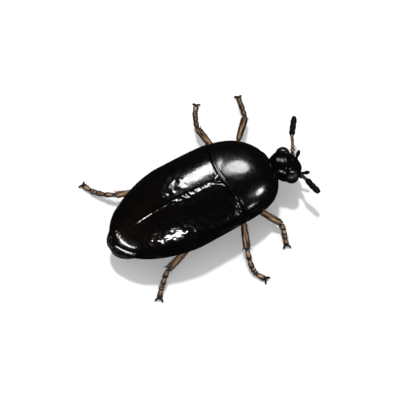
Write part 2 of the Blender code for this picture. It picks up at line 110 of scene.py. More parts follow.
def ridge(value: float, centre: float, width: float) -> float:
    """A smooth hump, 1 at its centre and 0 from half its width outwards."""
    share = abs(value - centre) / (width / 2)
    return 0.0 if share >= 1 else (1 - share * share) ** 2


@dataclass(frozen=True)
class Fold:
    """A raised line or hump on a surface, or a sunk one if its height is negative.

    Its middle is given as a distance from an edge or a point.
    """

    height: float
    middle: float
    width: float

    def at(self, distance: float, scale: float = 1.0) -> float:
        """Its height at a distance, times a scale."""
        return scale * self.height * ridge(distance, self.middle, self.width)


def arch(across: float, power: float) -> float:
    """Height of a rounded section at a share across of its half width, 1 in the middle."""
    return math.sqrt(1.0 - clamp01(abs(across)) ** power)


def ripple(point: Vector, size: float, seed: float = 0.0) -> float:
    """Smooth unevenness from -1 to 1 over lumps of a size in millimetres."""
    return noise.noise(point / size + Vector((seed, seed, seed)))


def spline(controls: list[Vector], count: int) -> list[Vector]:
    """Points evenly spread over a smooth curve.

    Args:
        controls: the points that the curve runs through.
        count: how many points to return.

    Returns:
        The points, the first and the last being those of the controls.
    """
    ends = [controls[0] * 2 - controls[1], *controls, controls[-1] * 2 - controls[-2]]
    steps = 20
    dense = []
    for i in range(1, len(ends) - 2):
        p0, p1, p2, p3 = ends[i - 1 : i + 3]
        for k in range(steps):
            t = k / steps
            curve = 2 * p0 - 5 * p1 + 4 * p2 - p3
            cubic = 3 * p1 - p0 - 3 * p2 + p3
            dense.append((2 * p1 + (p2 - p0) * t + curve * t * t + cubic * t**3) / 2)
    dense.append(controls[-1])
    lengths = [0.0]
    for a, b in zip(dense, dense[1:]):
        lengths.append(lengths[-1] + (b - a).length)
    even = []
    k = 1
    for n in range(count):
        target = lengths[-1] * n / (count - 1)
        while k < len(dense) - 1 and lengths[k] < target:
            k += 1
        share = (target - lengths[k - 1]) / (lengths[k] - lengths[k - 1])
        even.append(dense[k - 1].lerp(dense[k], share))
    return even


# ---------------------------------------------------------------- finishes


class Palette:
    """A material being wired: short calls that add one node each and give back its output.

    A Mix node has sockets for numbers, vectors and colours. mix_inputs and mix_output are those for colours.
    """

    mix_inputs = (6, 7)
    mix_output = 2

    def __init__(self, name: str) -> None:
        """Starts the material with its Principled shader."""
        self.material = bpy.data.materials.new(name)
        self.material.use_nodes = True
        self.tree = self.material.node_tree
        self.shader = self.tree.nodes["Principled BSDF"]

    def node(self, kind: str, **settings: object) -> bpy.types.Node:
        """A new node with its settings."""
        made = self.tree.nodes.new(kind)
        for name, value in settings.items():
            setattr(made, name, value)
        return made

    def feed(self, socket: bpy.types.NodeSocket, value: object) -> None:
        """Links an output to the socket, or sets it to a plain value."""
        if isinstance(value, bpy.types.NodeSocket):
            self.tree.links.new(value, socket)
        else:
            socket.default_value = value

    def place(self) -> bpy.types.NodeSocket:
        """The surface point in the object's own coordinates, in metres."""
        return self.node("ShaderNodeTexCoord").outputs["Object"]

    def attribute(self, name: str, output: str = "Fac") -> bpy.types.NodeSocket:
        """A value stored on the piece's points."""
        return self.node("ShaderNodeAttribute", attribute_name=name).outputs[output]

    def axis(self, vector: bpy.types.NodeSocket, name: str) -> bpy.types.NodeSocket:
        """One coordinate of a vector."""
        split = self.node("ShaderNodeSeparateXYZ")
        self.feed(split.inputs[0], vector)
        return split.outputs[name]

    def noise(
        self, vector: object, size: float, detail: float = 4.0, rough: float = 0.55
    ) -> bpy.types.NodeSocket:
        """Cloudy variation with lumps of a size in the vector's unit."""
        made = self.node("ShaderNodeTexNoise")
        self.feed(made.inputs["Vector"], vector)
        made.inputs["Scale"].default_value = 1.0 / size
        made.inputs["Detail"].default_value = detail
        made.inputs["Roughness"].default_value = rough
        return made.outputs["Fac"]

    def cells(self, vector: object, size: float, jitter: float = 1.0) -> bpy.types.NodeSocket:
        """Distance from the nearest of many scattered points, which lie a size apart in the vector's unit."""
        made = self.node("ShaderNodeTexVoronoi")
        self.feed(made.inputs["Vector"], vector)
        made.inputs["Scale"].default_value = 1.0 / size
        made.inputs["Randomness"].default_value = jitter
        return made.outputs["Distance"]

    def span(
        self, value: object, low: float, high: float, start: float = 0.0, end: float = 1.0
    ) -> bpy.types.NodeSocket:
        """The value's range low to high, spread smoothly over start to end."""
        made = self.node("ShaderNodeMapRange", interpolation_type="SMOOTHSTEP")
        self.feed(made.inputs["Value"], value)
        made.inputs["From Min"].default_value = low
        made.inputs["From Max"].default_value = high
        made.inputs["To Min"].default_value = start
        made.inputs["To Max"].default_value = end
        return made.outputs[0]

    def sum(self, operation: str, first: object, second: object) -> bpy.types.NodeSocket:
        """Two values put together by one operation."""
        made = self.node("ShaderNodeMath", operation=operation)
        self.feed(made.inputs[0], first)
        self.feed(made.inputs[1], second)
        return made.outputs[0]

    def blend(self, share: object, first: object, second: object) -> bpy.types.NodeSocket:
        """A colour between two others."""
        made = self.node("ShaderNodeMix", data_type="RGBA")
        self.feed(made.inputs[0], share)
        for socket, colour in zip(self.mix_inputs, (first, second)):
            self.feed(made.inputs[socket], colour)
        return made.outputs[self.mix_output]

    def bump(self, height: object, depth: float, under: object = None) -> bpy.types.NodeSocket:
        """Surface relief of a depth in metres, over any relief under it."""
        made = self.node("ShaderNodeBump")
        self.feed(made.inputs["Height"], height)
        made.inputs["Distance"].default_value = depth
        made.inputs["Strength"].default_value = 1.0
        if under is not None:
            self.feed(made.inputs["Normal"], under)
        return made.outputs[0]

    def done(self, **sockets: object) -> bpy.types.Material:
        """Sets the shader's sockets by name, with underscores for spaces, and gives the material."""
        for name, value in sockets.items():
            self.feed(self.shader.inputs[name.replace("_", " ")], value)
        return self.material


@dataclass(frozen=True)
class ShellFinish:
    """Polished black chitin with fine pits, which turns a little brown at the tail and low on the sides."""

    name: str = "shell_black"
    black: Colour = (0.0014, 0.0012, 0.0012, 1.0)
    tinge: Colour = (0.0068, 0.0032, 0.0016, 1.0)
    roughness: float = 0.11
    pit_spacing: float = 0.070
    pit_depth: float = 0.0007
    specular: float = 0.5
    coat: float = 0.25
    coat_roughness: float = 0.08
    ior: float = 1.48
    tail: Fade = (-0.8, -2.6)
    side: Fade = (1.15, 0.75)
    side_share: float = 0.6
    cloud_size: float = 0.60
    grain_size: float = 0.018
    grain_depth: float = 0.00012
    swell_size: float = 0.22
    swell_depth: float = 0.0010
    wear_size: float = 0.09
    wear: float = 0.09

    def material(self) -> bpy.types.Material:
        """Wires the finish.

        Returns:
            The material, read in object coordinates.
        """
        made = Palette(self.name)
        place = made.place()
        cloud = made.noise(place, self.cloud_size * MM)
        rear = made.span(made.axis(place, "X"), self.tail[0] * MM, self.tail[1] * MM)
        low = made.span(made.axis(place, "Z"), self.side[0] * MM, self.side[1] * MM)
        thin = made.sum("MAXIMUM", rear, made.sum("MULTIPLY", low, self.side_share))
        share = made.sum("MULTIPLY", thin, made.span(cloud, 0.35, 0.70))
        pits = made.span(made.cells(place, self.pit_spacing * MM, 0.9), 0.0, 0.30)
        grain = made.noise(place, self.grain_size * MM, detail=3.0)
        swell = made.noise(place, self.swell_size * MM, detail=2.0)
        relief = made.bump(swell, self.swell_depth * MM)
        relief = made.bump(grain, self.grain_depth * MM, relief)
        relief = made.bump(pits, self.pit_depth * MM, relief)
        wear = made.noise(place, self.wear_size * MM)
        worn = made.span(wear, 0.35, 0.75, self.roughness, self.roughness + self.wear)
        return made.done(
            Base_Color=made.blend(share, self.black, self.tinge),
            Roughness=worn,
            Normal=relief,
            IOR=self.ior,
            Specular_IOR_Level=self.specular,
            Coat_Weight=self.coat,
            Coat_Roughness=self.coat_roughness,
        )


@dataclass(frozen=True)
class BellyFinish:
    """Black-brown, finely punctured chitin of the underside, with a silky down, black at the tail tip."""

    name: str = "belly_brown"
    black: Colour = (0.0020, 0.0018, 0.0018, 1.0)
    dark: Colour = (0.0080, 0.0055, 0.0042, 1.0)
    warm: Colour = (0.0280, 0.0140, 0.0075, 1.0)
    tip: Fade = (-2.20, -2.50)
    cloud_size: float = 0.30
    pit_spacing: float = 0.045
    pit_depth: float = 0.0040
    grain_size: float = 0.012
    grain_depth: float = 0.0012
    roughness: Fade = (0.34, 0.44)

    def material(self) -> bpy.types.Material:
        """Wires the finish.

        Returns:
            The material, read in object coordinates.
        """
        made = Palette(self.name)
        place = made.place()
        cloud = made.noise(place, self.cloud_size * MM)
        tip = made.span(made.axis(place, "X"), self.tip[0] * MM, self.tip[1] * MM)
        rough = made.sum("SUBTRACT", 1.0, tip)
        pits = made.span(made.cells(place, self.pit_spacing * MM), 0.0, 0.35)
        grain = made.noise(place, self.grain_size * MM)
        relief = made.bump(made.sum("MULTIPLY", grain, rough), self.grain_depth * MM)
        relief = made.bump(made.sum("MULTIPLY", pits, rough), self.pit_depth * MM, relief)
        body = made.blend(made.span(cloud, 0.35, 0.7), self.dark, self.warm)
        return made.done(
            Base_Color=made.blend(tip, body, self.black),
            Roughness=made.span(cloud, 0.3, 0.7, *self.roughness),
            Specular_IOR_Level=0.25,
            Normal=relief,
            Sheen_Weight=0.04,
            Sheen_Roughness=0.4,
        )


@dataclass(frozen=True)
class LimbFinish:
    """Translucent horn-brown limb, finely streaked and dark at its joints. A painted highlight of pale tan
    runs along the side that faces one fixed way, so its other sides stay dark brown.
    """

    name: str
    # pale tan of the painted highlight, put on the side of the limb that faces one fixed way
    pale: Colour
    brown: Colour
    dark: Colour = (0.012, 0.006, 0.003, 1.0)
    roughness: float = 0.34
    wear: float = 0.16
    streak_size: float = 0.030
    streak_depth: float = 0.0022
    pore_spacing: float = 0.030
    pore_depth: float = 0.0016
    cloud_size: float = 0.140
    glow_depth: tuple[float, float, float] = (0.12, 0.06, 0.03)

    def material(self) -> bpy.types.Material:
        """Wires the finish.

        Returns:
            The material, read from the limb's own attributes.
        """
        made = Palette(self.name)
        lie = made.attribute("lie", "Vector")
        streak = made.noise(lie, self.streak_size, detail=5.0, rough=0.6)
        cloud = made.noise(lie, self.cloud_size, detail=2.0)
        # Painted highlight: pale tan streaks where the limb faces the fixed highlight way; elsewhere the
        # brown stays.
        top = made.sum("MULTIPLY", made.attribute("crest"), made.span(streak, 0.40, 0.60))
        body = made.blend(top, self.brown, self.pale)
        shade = made.sum("MAXIMUM", made.attribute("joint"), made.span(cloud, 0.60, 0.80, 0.0, 0.7))
        pores = made.span(made.cells(lie, self.pore_spacing), 0.0, 0.3)
        relief = made.bump(streak, self.streak_depth * MM)
        relief = made.bump(pores, self.pore_depth * MM, relief)
        return made.done(
            Base_Color=made.blend(shade, body, self.dark),
            Roughness=made.span(streak, 0.3, 0.7, self.roughness, self.roughness + self.wear),
            Normal=relief,
            Subsurface_Weight=0.10,
            Subsurface_Radius=tuple(depth * MM for depth in self.glow_depth),
            Subsurface_Scale=1.0,
            Specular_IOR_Level=0.14,
        )


@dataclass(frozen=True)
class DownyFinish:
    """Matt black-brown surface of the feeler clubs and palps, under a short dense down."""

    name: str = "club_black"
    dark: Colour = (0.0018, 0.0016, 0.0015, 1.0)
    worn: Colour = (0.0060, 0.0046, 0.0038, 1.0)
    down_size: float = 0.010
    down_depth: float = 0.0020
    cloud_size: float = 0.060
    roughness: Fade = (0.48, 0.68)

    def material(self) -> bpy.types.Material:
        """Wires the finish.

        Returns:
            The material, read in object coordinates.
        """
        made = Palette(self.name)
        place = made.place()
        down = made.noise(place, self.down_size * MM, detail=3.0)
        cloud = made.noise(place, self.cloud_size * MM)
        relief = made.bump(down, self.down_depth * MM)
        return made.done(
            Base_Color=made.blend(made.span(cloud, 0.45, 0.8), self.dark, self.worn),
            Roughness=made.span(down, 0.3, 0.7, *self.roughness),
            Normal=relief,
            Specular_IOR_Level=0.07,
        )


@dataclass(frozen=True)
class EyeFinish:
    """Black compound eye with a faint brown depth, its facets polished on top."""

    name: str = "eye_black"
    dark: Colour = (0.0014, 0.0013, 0.0014, 1.0)
    depth: Colour = (0.0060, 0.0035, 0.0026, 1.0)
    cloud_size: float = 0.080
    grain_size: float = 0.008
    grain_depth: float = 0.0003
    roughness: Fade = (0.40, 0.06)

    def material(self) -> bpy.types.Material:
        """Wires the finish.

        Returns:
            The material, read in object coordinates and from the eye's own attribute.
        """
        made = Palette(self.name)
        place = made.place()
        cloud = made.noise(place, self.cloud_size * MM)
        grain = made.noise(place, self.grain_size * MM)
        return made.done(
            Base_Color=made.blend(made.span(cloud, 0.35, 0.7), self.dark, self.depth),
            Roughness=made.span(made.attribute("polish"), 0.0, 1.0, *self.roughness),
            Normal=made.bump(grain, self.grain_depth * MM),
            Specular_IOR_Level=0.32,
        )


@dataclass(frozen=True)
class ClawFinish:
    """Hard, nearly black claws and bristles, brown where they are thin."""

    name: str = "claw_black"
    dark: Colour = (0.0030, 0.0022, 0.0018, 1.0)
    warm: Colour = (0.0160, 0.0070, 0.0035, 1.0)
    cloud_size: float = 0.030
    cloud_depth: float = 0.0010
    roughness: Fade = (0.34, 0.50)

    def material(self) -> bpy.types.Material:
        """Wires the finish.

        Returns:
            The material, read in object coordinates.
        """
        made = Palette(self.name)
        place = made.place()
        cloud = made.noise(place, self.cloud_size * MM)
        return made.done(
            Base_Color=made.blend(made.span(cloud, 0.45, 0.75), self.dark, self.warm),
            Roughness=made.span(cloud, 0.3, 0.7, *self.roughness),
            Normal=made.bump(cloud, self.cloud_depth * MM),
            Specular_IOR_Level=0.15,
        )


@dataclass(frozen=True)
class FloorFinish:
    """White studio paper with a faint tooth."""

    name: str = "studio_paper"
    low: Colour = (0.88, 0.88, 0.88, 1.0)
    high: Colour = (0.90, 0.90, 0.90, 1.0)
    tooth_size: float = 1.5

    def material(self) -> bpy.types.Material:
        """Wires the finish.

        Returns:
            The material, read in object coordinates.
        """
        made = Palette(self.name)
        tooth = made.noise(made.place(), self.tooth_size * MM)
        return made.done(
            Base_Color=made.blend(tooth, self.low, self.high),
            Roughness=0.9,
            Specular_IOR_Level=0.1,
        )


# ---------------------------------------------------------------- mesh tools


def slab(along: int, across: int, layers: int = 1) -> bmesh.types.BMesh:
    """A closed box from 0 to 1 on each axis, cut into a lattice.

    Args:
        along: number of faces along x.
        across: number of faces along y.
        layers: number of faces along z.

    Returns:
        The box as a new bmesh.
    """
    mesh = bmesh.new()
    bmesh.ops.create_cube(mesh, size=1.0)
    bmesh.ops.translate(mesh, verts=mesh.verts, vec=(0.5, 0.5, 0.5))
    for axis, count in enumerate((along, across, layers)):
        if count > 1:
            edges = [e for e in mesh.edges if abs(e.verts[0].co[axis] - e.verts[1].co[axis]) > TINY]
            bmesh.ops.subdivide_edges(mesh, edges=edges, cuts=count - 1, use_grid_fill=True)
    return mesh


def place_all(mesh: bmesh.types.BMesh, shape: Callable[..., Vector], *details: object) -> None:
    """Moves every point of a mesh to where the shape puts it.

    Args:
        mesh: the mesh, such as a lattice.
        shape: gives a point's place from its three coordinates and the details.
        details: what else the shape needs.
    """
    for vert in mesh.verts:
        vert.co = shape(*vert.co, *details)


def hang(name: str, data: bpy.types.ID) -> bpy.types.Object:
    """A new object of the scene for its mesh, lamp or camera."""
    made = bpy.data.objects.new(name, data)
    bpy.context.scene.collection.objects.link(made)
    return made


def publish(
    name: str,
    mesh: bmesh.types.BMesh,
    material: bpy.types.Material,
    slot: str,
    nodes: tuple[str, ...],
    crease: float = 50.0,
) -> bpy.types.Object:
    """Makes the finished piece from a mesh in frame millimetres and gives it its place in the frame.

    Args:
        name: the piece's name.
        mesh: its closed surface, which is freed.
        material: its finish.
        slot: a material slot's name, which is not used.
        nodes: the CAD nodes that it stands for.
        crease: angle in degrees from which an edge stays sharp.

    Returns:
        The object, at the origin, with its place in its mesh.
    """
    bmesh.ops.scale(mesh, verts=mesh.verts, vec=(MM, MM, MM))
    if mesh.calc_volume(signed=True) < 0:
        bmesh.ops.reverse_faces(mesh, faces=mesh.faces)
    data = bpy.data.meshes.new(name)
    mesh.to_mesh(data)
    mesh.free()
    data.shade_smooth()
    data.set_sharp_from_angle(angle=math.radians(crease))
    data.materials.append(material)
    piece = hang(name, data)
    if nodes:
        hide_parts(*nodes)
    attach(piece, "root")
    LOG.info("%s: %d faces", name, len(data.polygons))
    return piece


@dataclass(frozen=True)
class Station:
    """One ring of a limb: its middle, its half width and half height, and how dark its joint is."""

    middle: Vector
    half_width: float
    half_height: float
    joint: float = 0.0


Carve = Callable[[float, float], float]
Step = tuple[int, float, Vector]
UP = Vector((0, 0, 1))
# Painted highlight on limbs: the fixed way that its pale tan faces, and how it fades in as a point turns
# towards that way.
PAINTED_HIGHLIGHT_WAY = Vector((-0.18, -0.30, 0.94))
PAINTED_HIGHLIGHT_FADE: Fade = (0.58, 0.95)
STREAK_PULL = 0.16  # the share of a limb's length that its pattern sees, so that streaks are drawn out


def sides_of(ahead: Vector) -> tuple[Vector, Vector]:
    """The level direction to the right of a way ahead, and the one that stands on both."""
    side = ahead.cross(UP).normalized()
    return side, side.cross(ahead)


def plain(turn: float, along: float) -> float:
    """No carving: the same radius all the way round."""
    return 1.0


def limb(stations: list[Station], sides: int, carve: Carve = plain) -> bmesh.types.BMesh:
    """A closed round limb through its stations, with the attributes that its finish reads.

    Args:
        stations: the rings, from start to end.
        sides: how many points each ring has.
        carve: a factor on the radius from the angle round the limb, 0 at its top, and the share along it.

    Returns:
        The limb as a new bmesh, in the stations' coordinates.
    """
    mesh = bmesh.new()
    bmesh.ops.create_cone(mesh, cap_ends=True, segments=sides, radius1=1.0, radius2=1.0, depth=2.0)
    edges = [e for e in mesh.edges if abs(e.verts[0].co.z - e.verts[1].co.z) > TINY]
    bmesh.ops.subdivide_edges(mesh, edges=edges, cuts=len(stations) - 2)
    lie = mesh.verts.layers.float_vector.new("lie")
    # This layer holds where the limb's finish paints its highlight.
    crest = mesh.verts.layers.float.new("crest")
    joint = mesh.verts.layers.float.new("joint")
    count = len(stations) - 1
    run = [0.0]
    for a, b in zip(stations, stations[1:]):
        run.append(run[-1] + (b.middle - a.middle).length)
    for vert in mesh.verts:
        step = round((vert.co.z + 1.0) / 2.0 * count)
        here = stations[step]
        ahead = (stations[min(step + 1, count)].middle - stations[max(step - 1, 0)].middle).normalized()
        side, above = sides_of(ahead)
        turn = math.atan2(vert.co.x, vert.co.y)
        factor = carve(turn, step / count)
        across = math.sin(turn) * here.half_width * factor
        up = math.cos(turn) * here.half_height * factor
        vert[lie] = (across, up, run[step] * STREAK_PULL)
        out = side * math.sin(turn) + above * math.cos(turn)
        # Painted highlight: how much pale tan the finish puts here, by how nearly this point faces the fixed
        # highlight way.
        vert[crest] = ramp(out.dot(PAINTED_HIGHLIGHT_WAY), *PAINTED_HIGHLIGHT_FADE)
        vert[joint] = here.joint
        vert.co = here.middle + side * across + above * up
    return mesh


def merge(target: bmesh.types.BMesh, extra: bmesh.types.BMesh) -> None:
    """Adds one mesh to another as a separate shell, with its attributes, and frees it."""
    copy = bpy.data.meshes.new("joined")
    extra.to_mesh(copy)
    extra.free()
    target.from_mesh(copy)
    bpy.data.meshes.remove(copy)


def spike(start: Vector, end: Vector, radius: float) -> bmesh.types.BMesh:
    """A straight tapered bristle of five sides."""
    way = end - start
    turn = UP.rotation_difference(way).to_matrix().to_4x4()
    turn.translation = (start + end) / 2
    size = {"radius1": radius, "radius2": radius * 0.15, "depth": way.length}
    mesh = bmesh.new()
    bmesh.ops.create_cone(mesh, cap_ends=True, segments=5, matrix=turn, **size)
    return mesh


def on_floor(mesh: bmesh.types.BMesh) -> None:
    """Flattens what would reach below the floor."""
    for vert in mesh.verts:
        vert.co.z = max(vert.co.z, 0.0)


def read_path(node: str, near: Vector, count: int) -> list[Vector]:
    """Points along the middle of a CAD limb.

    Args:
        node: the limb's CAD node.
        near: a point close to the end where the path starts, in frame millimetres.
        count: how many points to read.

    Returns:
        The points from start to end, in frame millimetres.
    """
    found = {tuple(round(c / MM, 4) for c in v.co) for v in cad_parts[node].data.vertices}
    corners = [Vector(c) for c in sorted(found)]
    end = max(corners, key=lambda c: (c - near).length)
    start = max(corners, key=lambda c: (c - end).length)
    rounds = 4
    ring_share = 0.26
    for _ in range(rounds):
        way = (end - start).normalized()
        reach = [(c - start).dot(way) for c in corners]
        low, high = min(reach), max(reach)
        spare = (high - low) / (count - 1) * ring_share
        middles = []
        for k in range(count):
            place = mix(low, high, k / (count - 1))
            ring = [c for c, r in zip(corners, reach) if abs(r - place) <= spare]
            middle = sum(ring, Vector()) / len(ring)
            middles.append(middle + way * (place - (middle - start).dot(way)))
        start, end = middles[0], middles[-1]
    return middles


def profile(values: tuple[float, ...], share: float) -> float:
    """A value read along a row of values by a smooth curve through them."""
    spot = clamp01(share) * (len(values) - 1)
    k = min(int(spot), len(values) - 2)
    t = spot - k
    before = values[max(k - 1, 0)]
    low, high = values[k], values[k + 1]
    after = values[min(k + 2, len(values) - 1)]
    rise, fall = (high - before) / 2, (after - low) / 2
    return (
        low * (1 + 2 * t) * (1 - t) ** 2
        + rise * t * (1 - t) ** 2
        + high * t * t * (3 - 2 * t)
        + fall * t * t * (t - 1)
    )


def walk(path: list[Vector], lengths: tuple[float, ...], steps: int, fine: int, cover: float) -> list[Step]:
    """Goes along a path joint by joint.

    Args:
        path: points along its middle.
        lengths: each joint's share of the path.
        steps: how many places each joint has.
        fine: how many parts the path is cut into.
        cover: share of a joint's length that its places cover, which leaves a short waist after it.

    Returns:
        For each place the joint's number, the share of the joint and the point.
    """
    points = spline(path, fine + 1)
    made = []
    reached = 0.0
    for number, length in enumerate(lengths):
        for k in range(steps):
            share = k / (steps - 1)
            made.append((number, share, points[round(fine * min(reached + share * length * cover, 1.0))]))
        reached += length
    return made


class Pits:
    """Small round pits scattered over a shell plate."""

    def __init__(self, places: list[Vector], radius: float, depth: float) -> None:
        """Stores the pits for quick finding.

        Args:
            places: the middle of each pit.
            radius: of a pit.
            depth: of its middle.
        """
        self.radius = radius
        self.depth = depth
        self.tree = KDTree(len(places))
        for number, place in enumerate(places):
            self.tree.insert(place, number)
        self.tree.balance()

    def at(self, point: Vector) -> float:
        """How deep the surface lies in a pit at a point."""
        distance = self.tree.find(point)[2]
        if distance is None or distance >= self.radius:
            return 0.0
        return self.depth * (1 - (distance / self.radius) ** 2) ** 2


# ---------------------------------------------------------------- trunk


@dataclass(frozen=True)
class TrunkForm:
    """The smooth rounded form that wing cases, pronotum and underside share."""

    length: float = 4.322
    half: float = 1.13
    widest: float = 1.805
    tail_power: float = 1.62
    front_power: float = 4.85
    margin: float = 0.80
    tail_drop: float = 0.095
    front_drop: float = 0.095
    dome: float = 0.684
    dome_power: float = 2.1
    belly: float = 0.50
    keel_power: float = 1.1
    core: float = 0.095
    seam: float = 2.831
    seam_sweep: float = 0.228
    seam_power: float = 1.3
    seam_skew: float = 0.095
    bend: float = 0.050
    gap: float = 0.012
    pronotum_front: float = 4.294
    suture_front: float = -0.13
    suture_tail: float = 0.04
    step: float = 0.003
    pit_crowding: float = 2.4
    pit_jitter: float = 0.35

    @cached_property
    def anchor(self) -> Vector:
        """The trunk's starting point in the frame, from the pronotum's front and the wing cases' sides."""
        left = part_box("elytron_left")[1][1]
        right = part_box("elytron_right")[0][1]
        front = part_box("pronotum")[1][0]
        return Vector((front / MM - self.pronotum_front, (left + right) / 2 / MM, 0.0))

    def suture_y(self, x: float) -> float:
        """Where the two wing cases meet, a little off the middle line."""
        return mix(self.suture_tail, self.suture_front, clamp01(x / self.seam))

    def to_end(self, x: float) -> float:
        """The share of the way from the widest place to the tail, or to the front, at x."""
        if x < self.widest:
            return clamp01((self.widest - x) / self.widest)
        return clamp01((x - self.widest) / (self.length - self.widest))

    def swell(self, x: float) -> float:
        """How full the trunk is at x, from 0 at its ends to 1 where it is widest."""
        power = self.tail_power if x < self.widest else self.front_power
        return math.sqrt(1.0 - self.to_end(x) ** power)

    def half_width(self, x: float) -> float:
        """Half the trunk's width at x."""
        return self.half * self.swell(x)

    def margin_z(self, x: float) -> float:
        """Height of the sharp side margin at x."""
        drop = self.tail_drop if x < self.widest else self.front_drop
        return self.margin - drop * self.to_end(x) ** 2

    def back_z(self, x: float, across: float) -> float:
        """Height of the back at x, at a share across of the half width."""
        return self.margin_z(x) + self.dome * self.swell(x) * arch(across, self.dome_power)

    def belly_z(self, x: float, across: float) -> float:
        """Height of the belly."""
        depth = (1.0 - clamp01(abs(across)) ** 2) ** self.keel_power
        return self.margin_z(x) - self.belly * self.swell(x) * depth

    def core_z(self, x: float, across: float) -> float:
        """The level at which wing cases and pronotum end below."""
        return self.margin_z(x) + self.core * self.swell(x) * (1.0 - across * across)

    def seam_x(self, across: float) -> float:
        """Where the pronotum meets the wing cases."""
        return self.seam + self.seam_sweep * abs(across) ** self.seam_power + self.seam_skew * across

    def bend_y(self, x: float) -> float:
        """How far the front body turns to the right at x."""
        return -self.bend * max(x - self.seam, 0.0)

    def rise(self, x: float, y: float) -> float:
        """Height of the back over a place of the straight trunk."""
        return self.back_z(x, y / max(self.half_width(x), 1e-6))

    def normal(self, x: float, y: float) -> Vector:
        """The back's outward direction over a place of the straight trunk."""
        step = self.step
        inward = -step if y > 0 else step
        slope_x = (self.rise(x + step, y) - self.rise(x - step, y)) / (2 * step)
        slope_y = (self.rise(x, y + inward) - self.rise(x, y)) / inward
        return Vector((-slope_x, -slope_y, 1.0)).normalized()

    def slope(self, x: float) -> float:
        """How fast the half width grows along x."""
        return (self.half_width(x + self.step) - self.half_width(x - self.step)) / (2 * self.step)

    def edge_distance(self, x: float, y: float) -> float:
        """How far a place lies inside the outline seen from above."""
        slope = self.slope(x)
        return (self.half_width(x) - abs(y)) / math.sqrt(1.0 + slope * slope)

    def pit_places(self, start: float, end: float, spacing: float, seed: int) -> list[Vector]:
        """Scattered places over the back between two x values.

        Args:
            start: the first x.
            end: the last x.
            spacing: usual distance between neighbours.
            seed: of the random draws.

        Returns:
            The places in trunk coordinates, not bent.
        """
        draw = random.Random(seed)
        jitter = self.pit_jitter
        places = []
        for row in range(int((end - start) / spacing)):
            x = start + (row + 0.5) * spacing
            wide = self.half_width(x)
            count = max(int(wide * self.pit_crowding / spacing), 2)
            for column in range(count):
                share = (column + 0.5 + (row % 2) * 0.5 + draw.uniform(-jitter, jitter)) / count
                y = math.sin((share * 2 - 1) * math.pi / 2) * wide
                here = x + draw.uniform(-jitter, jitter) * spacing
                places.append(Vector((here, y, self.rise(here, y))))
        return places

    def plate_point(self, x: float, share: float, lip: float, layer: float, top: Vector) -> Vector:
        """A point in a back plate's wall, between its underside and its top.

        Args:
            x: place along the trunk.
            share: place across it, as a signed share of the half width.
            lip: how far the plate's side edge hangs below its underside.
            layer: 0 at the underside and 1 at the top.
            top: the point of the top above it.

        Returns:
            The point, in trunk coordinates, not bent.
        """
        low = self.core_z(x, share) - lip * ramp(abs(share), 0.8, 1.0)
        y = share * self.half_width(x)
        thinnest = 0.03
        return Vector((x, y, min(low, self.back_z(x, share) - thinnest))).lerp(top, layer)


SHIELD_POWER = 0.8  # how the shield's sides curve from its point to its base


